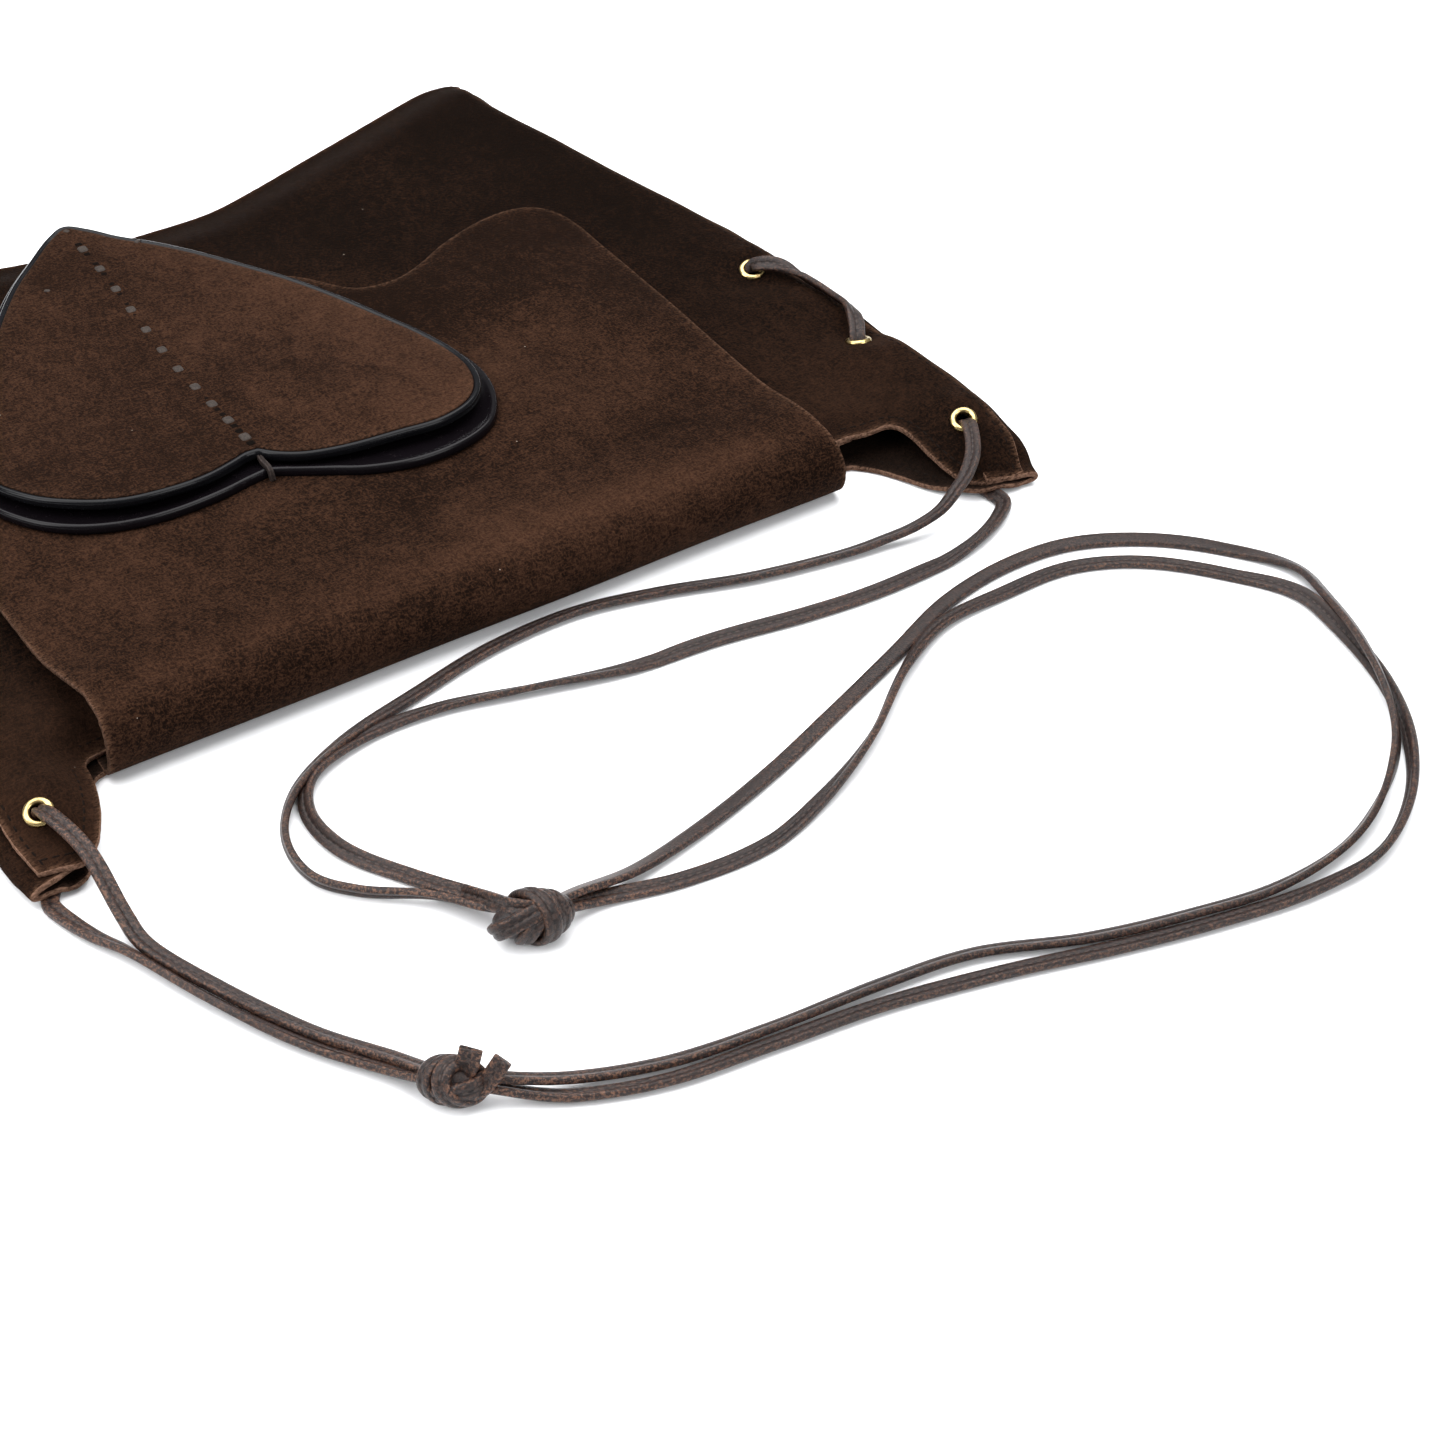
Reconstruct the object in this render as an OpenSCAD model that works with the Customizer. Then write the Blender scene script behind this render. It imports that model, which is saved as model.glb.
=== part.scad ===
// Suede drawstring shoulder bag, lying on its back with its flap closed.
// X runs along the mouth, Y from the mouth to the bag's bottom, Z up from the table.
// The origin is the centre of the bag's footprint, on the table.

/* [Bag] */
// Half width of the bag at its mouth
half_mouth = 192; // [180:1:200]
// Half width of the bag just above its bottom corners
half_bottom = 153; // [145:1:165]
// Distance from the origin to the furthest bottom corner, and to the longest ear
half_depth = 186; // [184:1:190]
// Thickness of the suede of the two panels
panel_t = 2; // [1.4:0.1:2.2]
// Height of the front panel's underside above the table
front_z = 10.5; // [10.5:0.1:12]
// How far the front panel's raw edge lies inside the side fold
lap_inset = 5; // [4:0.5:7]
// Depth of the facing bands that line the mouth
facing_depth = 38; // [25:1:45]

/* [Flap] */
// Outer radius of the roll where the flap turns over the mouth
roll_r = 12.5; // [12.5:0.1:13]
// Thickness of the flap's suede
flap_t = 1.8; // [1.2:0.1:1.8]
// Fall of the closed flap towards the bag's bottom, in degrees
flap_fall = 2.46; // [2.2:0.02:2.48]

/* [Heart] */
// Half width of the top heart
heart_half = 84; // [70:1:84]
// Sideways place of the heart's centre line
heart_x = -43; // [-48:1:-38]
// Thickness of the moulded base heart
base_t = 3; // [2:0.1:3]
// Thickness of the top heart's leather backing
backing_t = 1.8; // [1:0.1:1.8]
// Thickness of the top heart's suede facing
facing_t = 1.6; // [1:0.1:1.6]
// Number of lacing stitches along the heart's centre line
lacing_count = 11; // [7:1:13]

/* [Eyelets] */
// Outer diameter of an eyelet's flange
eyelet_od = 10; // [9:0.1:10]
// Bore of an eyelet
eyelet_bore = 5.5; // [5.5:0.1:5.8]
// Distance of the front eyelets from the side fold
front_eyelet_inset = 16; // [16:0.5:17]
// Distance of the back eyelets from the side fold
back_eyelet_inset = 25; // [24.5:0.5:26]
// Distance from one eyelet to the next along the side
eyelet_pitch = 64; // [60:1:66]

/* [Lace] */
// Width of the flat lace
lace_w = 5.5; // [5:0.1:5.5]
// Thickness of the flat lace
lace_t = 2.3; // [1.8:0.1:2.3]

/* [Hidden] */
$fn = 64;

// Sides: the right side is +1 and the left side is -1.
R = 1;
L = -1;

// The mouth's straight rim, and the ears' own places
mouth_y = -134.5;
function ear_tip_y(s) = s > 0 ? -181 : -half_depth;
function first_eyelet_y(s) = s > 0 ? -150 : -162;
function eyelet_y(s, i) = first_eyelet_y(s) + i * eyelet_pitch;

// Side fold in plan: straight at the mouth, then drawn in towards the bottom
function mix(a, b, t) = a + (b - a) * t;
function side_x(y) =
    y < -60 ? half_mouth - (y + 180) / 120
    : y < 38 ? mix(half_mouth - 1, half_mouth - 16, (y + 60) / 98)
    : mix(half_mouth - 16, half_bottom, (y - 38) / 112);

// Bottom edge in plan: the corners reach further than the middle
corner_r = 16;
bottom_low_x = -30;
bottom_low_y = 139;
right_rise = half_depth - bottom_low_y;
left_rise = 33;
function corner_x() = half_bottom - corner_r;
function bottom_y(x) = x > bottom_low_x
    ? bottom_low_y + right_rise * pow((x - bottom_low_x) / (corner_x() - bottom_low_x), 1.4)
    : bottom_low_y + left_rise * pow((bottom_low_x - x) / (corner_x() + bottom_low_x), 1.3);

function arc(cx, cy, r, a0, a1, n) =
    [for (k = [0 : n]) let (a = mix(a0, a1, k / n)) [cx + r * cos(a), cy + r * sin(a)]];

// One ear of the rim, from the mouth outwards to the side fold
function ear(s) =
    let (tip = ear_tip_y(s))
    [[143, mouth_y], [152, mouth_y - 4], [156, mouth_y - 16], [160, tip + 14],
     [168, tip + 3], [176, tip], [187, tip + 2], [half_mouth, tip + 9]];

function side_points() = [for (y = [-60, -11, 38, 94, 150]) [side_x(y), y]];

function right_edge() = concat(
    ear(R), side_points(),
    arc(corner_x(), half_depth - corner_r, corner_r, 0, 90, 6),
    [for (x = [110, 85, 60, 35, 10, -10]) [x, bottom_y(x)]]);

function left_corner_y() = bottom_y(-corner_x()) - corner_r;
function left_edge() = concat(
    [for (x = [-30, -55, -80, -110]) [x, bottom_y(x)]],
    arc(-corner_x(), left_corner_y(), corner_r, 90, 180, 6),
    [for (k = [4 : -1 : 0]) let (p = side_points()[k]) [-p.x, p.y]],
    [for (k = [7 : -1 : 0]) let (p = ear(L)[k]) [-p.x, p.y]]);

module bag_outline() {
    polygon(concat(right_edge(), left_edge()));
}

// Where the back panel rises off the table over the lace that runs under it
strip_x = 150;
strip_end_y = 24;
strip_z = 3.8;
wall_top = 8.5;
module strip_zone(grow = 0) {
    for (s = [L, R])
        translate([s > 0 ? strip_x - grow : -strip_x - 60 + grow, -200])
            square([60, 200 + strip_end_y + grow]);
}

function front_x(s, i) = s * (side_x(eyelet_y(s, i)) - front_eyelet_inset);
function back_x(s, i) = s * (side_x(eyelet_y(s, i)) - back_eyelet_inset);
barrel_r = eyelet_bore / 2 + 0.5;
washer_t = 0.5;

module barrel_holes(front, z0, h) {
    for (s = [L, R], i = [0 : 2])
        translate([front ? front_x(s, i) : back_x(s, i), eyelet_y(s, i), z0])
            cylinder(r = barrel_r, h = h);
}

module back_panel() {
    color([0.16, 0.10, 0.07])
    difference() {
        union() {
            linear_extrude(panel_t)
                difference() { bag_outline(); strip_zone(); }
            linear_extrude(strip_z + panel_t)
                intersection() {
                    bag_outline();
                    difference() { strip_zone(panel_t); strip_zone(); }
                }
            translate([0, 0, strip_z])
                linear_extrude(panel_t)
                    intersection() { bag_outline(); strip_zone(); }
            // walls of the side folds and the turned bottom seam
            translate([0, 0, panel_t / 2])
                linear_extrude(wall_top - panel_t / 2)
                    difference() {
                        bag_outline();
                        offset(delta = -panel_t) bag_outline();
                        translate([-187, -200]) square([374, 110]);
                        strip_zone();
                    }
            translate([0, 0, strip_z])
                linear_extrude(wall_top - strip_z)
                    intersection() {
                        strip_zone();
                        difference() {
                            bag_outline();
                            offset(delta = -panel_t) bag_outline();
                            translate([-187, -200]) square([374, 110]);
                        }
                    }
        }
        barrel_holes(false, 0, wall_top);
    }
}

// The front panel's raw edges stop short of the side folds.
module front_panel() {
    color([0.21, 0.13, 0.09])
    difference() {
        translate([0, 0, front_z])
            linear_extrude(panel_t)
                intersection() {
                    bag_outline();
                    polygon(concat(
                        [[-half_mouth + lap_inset, -200], [half_mouth - lap_inset, -200]],
                        [for (p = side_points()) [p.x - lap_inset, p.y]],
                        [[half_bottom - lap_inset, 200], [lap_inset - half_bottom, 200]],
                        [for (k = [4 : -1 : 0]) let (p = side_points()[k]) [lap_inset - p.x, p.y]]));
                }
        barrel_holes(true, front_z - 1, panel_t + 2);
    }
}

// The back panel's edge, folded over at the side and sewn under the front panel's raw edge
wrap_w = 10.7;
wrap_t = 1.5;
module side_wrap(s) {
    color([0.18, 0.11, 0.08])
    translate([0, 0, front_z - wrap_t])
        linear_extrude(wrap_t)
            intersection() {
                bag_outline();
                polygon(concat(
                    [[s * 196, -200]],
                    [for (p = concat([[half_mouth, ear_tip_y(s)]], side_points()))
                        [s * (p.x - wrap_w), p.y]],
                    [[s * 196, 150]]));
            }
}

module facing_band(z, x_edge) {
    translate([-x_edge, mouth_y, z])
        linear_extrude(1.2)
            square([2 * x_edge, facing_depth]);
}

module mouth_facing_front() {
    color([0.19, 0.12, 0.09]) facing_band(front_z - 1.2, 140);
}

module mouth_facing_back() {
    color([0.19, 0.12, 0.09]) facing_band(panel_t, 140);
}

// The flap: one sheet from the back panel's rim, rolled over the mouth
flap_right_x = 128;
flap_left_x = -142.5;
roll_split = -45;

module roll(a0, a1) {
    steps = 10;
    translate([flap_left_x, mouth_y, roll_r])
        rotate([90, 0, 90])
            linear_extrude(flap_right_x - flap_left_x)
                polygon(concat(
                    [for (k = [0 : steps]) let (a = mix(a0, a1, k / steps))
                        [-roll_r * cos(a), roll_r * sin(a)]],
                    [for (k = [steps : -1 : 0]) let (a = mix(a0, a1, k / steps))
                        [-(roll_r - flap_t) * cos(a), (roll_r - flap_t) * sin(a)]]));
}

module flap_neck() {
    color([0.22, 0.14, 0.09]) roll(-90, roll_split - 1);
}

// Places a drawing on the closed flap's top face, whose plane starts at the top of the roll
module on_flap(h = 0) {
    translate([0, mouth_y, 2 * roll_r])
        rotate([-flap_fall, 0, 0])
            translate([0, -mouth_y, h])
                children();
}

function flap_points() = concat(
    [[flap_left_x, mouth_y], [flap_right_x, mouth_y], [134, -67], [139, -28], [141, 7]],
    arc(117, 41, 24, 0, 105, 6),
    [[94, 62], [77, 55], [60, 46], [46, 42], [34, 45], [18, 62], [-8, 80], [-43, 86],
     [-78, 80], [-100, 64], [-112, 52]],
    arc(-138, 42, 20, 75, 180, 6),
    [[-156, -28], [-153, -67], [-150, -108]]);

module flap() {
    color([0.22, 0.14, 0.09]) {
        roll(roll_split, 90);
        on_flap(-flap_t)
            linear_extrude(flap_t)
                polygon(flap_points());
    }
}

// Half of a heart is two curves: the lobe from the cleft, then the long side to the tip.
function bez(a, b, c, d, t) =
    a * pow(1 - t, 3) + 3 * b * t * pow(1 - t, 2) + 3 * c * t * t * (1 - t) + d * pow(t, 3);
function curve(p, n) = [for (k = [0 : n - 1]) bez(p[0], p[1], p[2], p[3], k / n)];
function half_heart(grow, cleft) = concat(
    curve([[0, cleft], [10, cleft - 22], [heart_half + grow, -66 - 1.2 * grow],
        [heart_half + grow, -30]], 10),
    curve([[heart_half + grow, -30], [heart_half + grow, 20], [46 + grow, 100 + grow],
        [0, 141 + grow]], 14));
module heart_outline(grow, cleft) {
    half = half_heart(grow, cleft);
    translate([heart_x, 0])
        polygon(concat(half, [[0, 141 + grow]],
            [for (k = [len(half) - 1 : -1 : 1]) [-half[k].x, half[k].y]]));
}

module heart_base() {
    color([0.07, 0.04, 0.05])
    on_flap() linear_extrude(base_t) heart_outline(6, -53);
}

module heart_backing() {
    color([0.05, 0.05, 0.06])
    on_flap(base_t) linear_extrude(backing_t) heart_outline(0, -44);
}

top_z = base_t + backing_t + facing_t;
module heart_facing() {
    color([0.26, 0.16, 0.11])
    on_flap(base_t + backing_t) linear_extrude(facing_t) heart_outline(-0.6, -43);
}

// Short stitches along the centre line, from near the tip to near the cleft
module heart_lacing() {
    color([0.27, 0.20, 0.17])
    for (k = [0 : lacing_count - 1])
        on_flap(top_z)
            translate([heart_x, mix(-35, 113, k / (lacing_count - 1)), 0])
                linear_extrude(1.1)
                    square([3.4, 5], center = true);
}

// The thong that ties both hearts to the flap, over the base heart's edge in the cleft
module cleft_tie() {
    color([0.05, 0.04, 0.05])
    on_flap(base_t)
        translate([heart_x, -50.8, 0])
            linear_extrude(2.4)
                square([3.6, 4], center = true);
}

module tip_stitches() {
    color([0.16, 0.11, 0.09])
    for (p = [[0, 126], [-24, 96], [24, 96]])
        on_flap(top_z)
            translate([heart_x + p.x, p.y, 0])
                linear_extrude(0.6)
                    square([3, 1.6], center = true);
}

// Eyelet with its flange on top: a barrel of length h hangs below the flange's underside.
module eyelet(h) {
    r = eyelet_bore / 2;
    rotate_extrude()
        polygon([[r, -h], [barrel_r, -h], [barrel_r, 0], [eyelet_od / 2, 0],
            [eyelet_od / 2, 0.4], [eyelet_od / 2 - 0.8, 1.1], [r + 0.6, 1.2], [r, 0.7]]);
}

module washer_ring() {
    rotate_extrude()
        translate([barrel_r, 0])
            square([eyelet_od / 2 - barrel_r, washer_t]);
}

module eyelets_front(s) {
    color([0.72, 0.60, 0.34])
    for (i = [0 : 2])
        translate([front_x(s, i), eyelet_y(s, i), front_z + panel_t])
            eyelet(panel_t + washer_t);
}

module eyelets_back(s) {
    color([0.72, 0.60, 0.34])
    for (i = [0 : 2])
        translate([back_x(s, i), eyelet_y(s, i), strip_z])
            rotate([180, 0, 0])
                eyelet(panel_t + washer_t);
}

module washers_front(s) {
    color([0.60, 0.50, 0.30])
    for (i = [0 : 2])
        translate([front_x(s, i), eyelet_y(s, i), front_z - washer_t])
            washer_ring();
}

module washers_back(s) {
    color([0.60, 0.50, 0.30])
    for (i = [0 : 2])
        translate([back_x(s, i), eyelet_y(s, i), strip_z + panel_t])
            washer_ring();
}

// A swept lace: every ring is an octagon a wide and b thick (half sizes), across the path.
function unit(v) = v / norm(v);
function tangent(p, i) = unit(p[min(i + 1, len(p) - 1)] - p[max(i - 1, 0)]);
function ring(c, side, up, a, b) = [for (k = [0 : 7]) let (w = 22.5 + 45 * k)
    c + a * cos(w) / cos(22.5) * side + b * sin(w) / cos(22.5) * up];

function across(t) = norm(cross(t, [0, 0, 1])) < 0.01 ? [-1, 0, 0] : unit(cross(t, [0, 0, 1]));

module sweep(path, a, b, side = undef) {
    n = len(path);
    rings = [for (i = [0 : n - 1])
        let (t = tangent(path, i), flat = is_undef(side) ? across(t) : side)
        each ring(path[i], flat, cross(flat, t), a, b)];
    faces = concat(
        [[for (k = [0 : 7]) k]],
        [[for (k = [7 : -1 : 0]) (n - 1) * 8 + k]],
        [for (i = [0 : n - 2], k = [0 : 7]) let (m = (k + 1) % 8)
            each [[i * 8 + m, i * 8 + k, i * 8 + 8 + k], [i * 8 + m, i * 8 + 8 + k, i * 8 + 8 + m]]]);
    polyhedron(points = rings, faces = faces);
}

// A run of flat lace between two eyelets. It has a leg down (or up) into each bore.
bend = 1.9;
flat_a = lace_w / 2 - 0.35;
flat_b = lace_t / 2 - 0.1;
function leg(u, z_end, z_run, d, s) = concat([[u, z_end]],
    [for (k = [0 : 3]) let (w = 30 * k)
        [u + d * bend * (1 - cos(w)), z_run - s * bend * (1 - sin(w))]]);
function turned(list) = [for (k = [len(list) - 1 : -1 : 0]) list[k]];
module flat_run(from, to, z_from, z_to, z_run) {
    s = z_run > z_from ? 1 : -1;
    d = unit(to - from);
    path = concat(leg(0, z_from, z_run, 1, s), turned(leg(norm(to - from), z_to, z_run, -1, s)));
    sweep([for (p = path) [from.x + d.x * p.x, from.y + d.y * p.x, p.y]],
        flat_a, flat_b, [-d.y, d.x, 0]);
}

lace_color = [0.18, 0.12, 0.11];
front_mid = front_z + 1;
back_mid = strip_z + 1;
front_in_z = front_z - washer_t - lace_t / 2 - 0.1;
front_out_z = front_z + panel_t + 1.3 + lace_t / 2;
back_in_z = strip_z + panel_t + washer_t + lace_t / 2 + 0.1;
under_z = lace_t / 2;

function front_eyelet(s, i) = [front_x(s, i), eyelet_y(s, i)];
function back_eyelet(s, i) = [back_x(s, i), eyelet_y(s, i)];

module lace_outside(s) {
    color(lace_color)
    flat_run(front_eyelet(s, 1), front_eyelet(s, 2), front_mid + 0.1, front_z - washer_t,
        front_out_z);
}

module lace_inside(s) {
    color(lace_color)
    flat_run(front_eyelet(s, 0), front_eyelet(s, 1), front_mid, front_mid, front_in_z);
}

module lace_cross(s) {
    color(lace_color)
    sweep([[front_x(s, 2), eyelet_y(s, 2), front_in_z - 0.5],
        [back_x(s, 2) - s * 2, eyelet_y(s, 2), back_in_z + 0.3]], flat_a, flat_b, [0, 1, 0]);
}

module lace_under(s) {
    color(lace_color)
    flat_run(back_eyelet(s, 2), back_eyelet(s, 1), strip_z + panel_t + washer_t, back_mid,
        under_z);
}

module lace_back_inside(s) {
    color(lace_color)
    flat_run(back_eyelet(s, 1), back_eyelet(s, 0), back_mid + 0.1, back_mid + 0.1, back_in_z);
}

// Where the lace comes out from under the back panel's ear
function back_exit(s) = s > 0 ? [170.5, -182] : [-184.5, -186.5];
module lace_back_end(s) {
    from = back_eyelet(s, 0);
    d = unit(back_exit(s) - from);
    path = concat(leg(0, back_mid, under_z, 1, -1), [[norm(back_exit(s) - from), under_z]]);
    color(lace_color)
    sweep([for (p = path) [from.x + d.x * p.x, from.y + d.y * p.x, p.y]],
        flat_a, flat_b, [-d.y, d.x, 0]);
}

// Free strands: a round tube with the lace's own cross-section area
tube_r = sqrt(lace_w * lace_t / PI);

// From the ear's front eyelet over the rim, down towards the table
end_right = [[176, -150, 12], [176, -150, 14.6], [175.4, -153.6, 17], [172, -160.4, 16.6],
    [166.2, -168.6, 15.3], [157.5, -175.8, 13], [151, -178.6, 10.8]];
end_left = [[-176, -162, 12], [-176, -162, 14.5], [-175, -166.5, 16.3], [-172.8, -176, 16.5],
    [-171, -185.6, 15], [-170.4, -194.2, 12.5], [-170.3, -200, 10]];

// The strap's two strands from the right ear to the left ear, through both knots
front_route = [[150.4, -178.9, 10.5], [143.8, -181, 8], [133.4, -180.8, 5], [121, -179, 3],
    [108, -177.4, 2.1], [74.5, -171, 2.1], [42, -160.5, 2.1], [14, -154.5, 2.1],
    [-18, -155.5, 2.1], [-49, -162.5, 2.1], [-81, -171.5, 2.1], [-103.5, -184.5, 2.1],
    [-115.5, -202.5, 2.1], [-116, -222, 2.1], [-107, -234.5, 2.1], [-90.5, -248.5, 3.3],
    [-80, -265, 6.5], [-70.5, -273.5, 7.9], [-54.5, -272.5, 6.1], [-35, -271, 2.9],
    [-8.5, -265.5, 2.1], [23, -256, 2.1], [56.5, -243, 2.1], [90, -229.5, 2.1],
    [120.5, -216.5, 2.1], [150, -211.5, 2.1], [174.5, -214, 2.1], [199, -226.5, 2.1],
    [219, -246.5, 2.1], [230, -266.5, 2.1], [227, -285, 2.9], [218.5, -309.5, 5.4],
    [206.5, -334.5, 5.7], [196.5, -350, 2.6], [176, -366, 2.1], [151.5, -377, 2.1],
    [122.5, -379.5, 2.1], [92, -374, 2.1], [61.5, -365.5, 2.1], [30, -352.5, 2.1],
    [1.5, -348, 2.1], [-34.5, -345, 2.1], [-66, -340, 2.1], [-92.5, -331.5, 3.7],
    [-110.5, -323.5, 7.3], [-122.5, -313.5, 7.3], [-130, -297.5, 3.3], [-143.5, -276.5, 2.1],
    [-158.5, -246, 2.1], [-169, -219.5, 3.2], [-170, -210, 5.8], [-170.3, -200.7, 9.7]];
back_route = [[170, -182.7, 2.1], [163.5, -188.5, 2.1], [155, -193, 2.1], [145, -196.4, 2.1],
    [134, -198.4, 2.1], [106, -199.5, 2.1], [77.5, -197, 2.1], [45, -191.5, 2.1],
    [12, -188.5, 2.1], [-17, -181.5, 2.1], [-48, -173, 2.1], [-73.5, -172.5, 2.1],
    [-96, -181, 2.1], [-104.5, -195, 2.1], [-103.5, -214, 2.1], [-90, -238, 2.7],
    [-79, -258, 5.5], [-71.5, -271.5, 8], [-60.5, -275, 6.6], [-49, -275, 3.4],
    [-24, -280.5, 2.1], [5, -282, 2.1], [31.5, -274, 2.1], [60, -259.5, 2.1], [87, -239, 2.1],
    [111.5, -225.5, 2.1], [138.5, -223, 2.1], [166.5, -224, 2.1], [188, -234, 2.1],
    [207, -253, 2.1], [221.5, -276.5, 2.1], [220.5, -296.5, 2.1], [213, -327.5, 2.1],
    [199.5, -353, 2.1], [180, -373, 2.1], [157, -385, 2.1], [131, -386, 2.1], [97.5, -380.5, 2.1],
    [64.5, -372, 2.1], [30, -362, 2.1], [-3, -354.5, 2.1], [-36.5, -350, 2.1],
    [-69.5, -345.5, 2.1], [-95.5, -335.5, 2.1], [-114.5, -323, 5.6], [-125, -315.5, 7.3],
    [-132.5, -302, 3.2], [-147.5, -279.5, 2.1], [-162.5, -250, 2.1], [-175, -218.5, 2.1],
    [-179.5, -209.5, 2.1], [-183.2, -199, 2.1], [-185.2, -189, 2.1]];

module tube(route) {
    color(lace_color) sweep(route, tube_r, tube_r);
}

// An overhand knot, drawn as the barrel it fills
knot_len = 26;
knot_r = 8;
module knot(place, heading) {
    color(lace_color)
    translate([place.x, place.y, knot_r])
        rotate([0, 0, heading])
            rotate([0, 90, 0])
                rotate_extrude($fn = 24)
                    polygon(concat([[0, -knot_len / 2]],
                        [for (k = [0 : 8]) let (w = mix(-75, 75, k / 8))
                            [knot_r * pow(cos(w), 0.5), knot_len / 2 * sin(w) / sin(75)]],
                        [[0, knot_len / 2]]));
}

right_knot = [-68, -274.5];
left_knot = [-120, -317.5];

module lace_tails() {
    color(lace_color)
    for (p = [[-115, -312.5, 25], [-108.5, -319.5, 5]])
        translate([p.x, p.y, 9])
            rotate([0, 35, p[2]])
                translate([0, 0, 5])
                    cube([lace_w, lace_t, 12], center = true);
}

back_panel();
front_panel();
side_wrap(R);  // side_wrap_right
side_wrap(L);  // side_wrap_left
mouth_facing_front();
mouth_facing_back();
flap_neck();
flap();
heart_base();
heart_backing();
heart_facing();
heart_lacing();
cleft_tie();
tip_stitches();
eyelets_front(R);  // eyelets_front_right
eyelets_front(L);  // eyelets_front_left
eyelets_back(R);  // eyelets_back_right
eyelets_back(L);  // eyelets_back_left
washers_front(R);  // washers_front_right
washers_front(L);  // washers_front_left
washers_back(R);  // washers_back_right
washers_back(L);  // washers_back_left
lace_outside(R);  // lace_outside_right
lace_outside(L);  // lace_outside_left
lace_inside(R);  // lace_inside_right
lace_inside(L);  // lace_inside_left
tube(end_right);  // lace_end_right
tube(end_left);  // lace_end_left
lace_cross(R);  // lace_cross_right
lace_cross(L);  // lace_cross_left
lace_under(R);  // lace_under_right
lace_under(L);  // lace_under_left
lace_back_inside(R);  // lace_back_inside_right
lace_back_inside(L);  // lace_back_inside_left
lace_back_end(R);  // lace_back_end_right
lace_back_end(L);  // lace_back_end_left
tube(front_route);  // strap_lace_front
tube(back_route);  // strap_lace_back
knot(right_knot, -14);  // knot_right
knot(left_knot, -45);  // knot_left
lace_tails();
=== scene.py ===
"""Looks of a suede drawstring shoulder bag that lies on its back with its flap closed.

Lengths in this script are millimetres unless a name says otherwise; MM turns them into metres.
"""
import math

import bpy
import numpy as np
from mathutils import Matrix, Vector
from mathutils.kdtree import KDTree


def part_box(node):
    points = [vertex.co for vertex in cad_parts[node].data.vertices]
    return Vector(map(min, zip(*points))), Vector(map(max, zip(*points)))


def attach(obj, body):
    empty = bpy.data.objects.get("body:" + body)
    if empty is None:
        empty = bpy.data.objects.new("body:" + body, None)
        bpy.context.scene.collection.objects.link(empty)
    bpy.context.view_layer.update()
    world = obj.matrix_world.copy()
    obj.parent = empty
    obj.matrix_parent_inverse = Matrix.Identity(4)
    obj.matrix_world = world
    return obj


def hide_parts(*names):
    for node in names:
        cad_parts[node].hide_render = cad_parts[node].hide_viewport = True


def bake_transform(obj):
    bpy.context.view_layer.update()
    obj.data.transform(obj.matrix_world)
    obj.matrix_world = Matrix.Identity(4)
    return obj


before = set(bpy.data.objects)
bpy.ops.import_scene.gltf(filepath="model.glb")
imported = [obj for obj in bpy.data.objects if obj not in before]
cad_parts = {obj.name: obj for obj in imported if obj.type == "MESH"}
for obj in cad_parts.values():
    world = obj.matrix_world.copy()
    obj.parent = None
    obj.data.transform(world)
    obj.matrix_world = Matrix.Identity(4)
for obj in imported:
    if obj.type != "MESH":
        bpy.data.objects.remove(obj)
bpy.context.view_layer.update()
MM = 0.001

# ---------------------------------------------------------------- driving dimensions

PANEL_T = 2.0
FLAP_T = 1.8
LAP_INSET = 5.0
MOUTH_Y = -134.5
HEART_X = -43.0
FLAP_FALL = math.radians(2.46)
ROLL_TOP = 25.0
LACE_W = 5.5
LACE_T = 2.3
EYELET_PITCH = 64.0
FRONT_EYELET_INSET = 16.0
BACK_EYELET_INSET = 25.0
FIRST_EYELET_Y = {1: -150.0, -1: -162.0}
FRONT_Z = 11.5          # middle of the front panel over the table
BACK_Z = 1.1            # middle of the back panel over the table
HEART_FACE_H = 7.45     # the top heart's suede face over the flap
RING_POINTS = 48        # points round each eyelet
KNOT_POINTS = 96        # points round each wrap of a knot
FLOOR_GAP = 0.1         # the least height of a knot's surface over the table
SIDES = {"right": 1, "left": -1}


# ---------------------------------------------------------------- small maths

def smoothstep(low, high, x):
    t = np.clip((np.asarray(x, float) - low) / (high - low), 0, 1)
    return t * t * (3 - 2 * t)


def bell(x, centre, width):
    return np.exp(-((np.asarray(x, float) - centre) / width) ** 2)


def waves(x, y, size, seed):
    """Smooth unevenness from about -1 to 1, in lumps about size across."""
    rng = np.random.default_rng(seed)
    total = np.zeros_like(np.asarray(x, float))
    for _ in range(9):
        heading, phase = rng.uniform(0, 2 * math.pi, 2)
        rate = 2 * math.pi / (size * rng.uniform(0.8, 1.9))
        total = total + np.sin(rate * (x * math.cos(heading) + y * math.sin(heading)) + phase)
    return total / 4.5


def unit(v):
    v = np.asarray(v, float)
    return v / np.maximum(np.linalg.norm(v, axis=-1, keepdims=True), 1e-9)


def resample(points, count=None, step=None):
    """The same line with evenly spaced points."""
    p = np.asarray(points, float)
    along = np.concatenate([[0], np.cumsum(np.linalg.norm(np.diff(p, axis=0), axis=1))])
    count = count or max(2, int(round(along[-1] / step)) + 1)
    places = np.linspace(0, along[-1], count)
    return np.stack([np.interp(places, along, p[:, k]) for k in range(p.shape[1])], axis=1)


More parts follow.
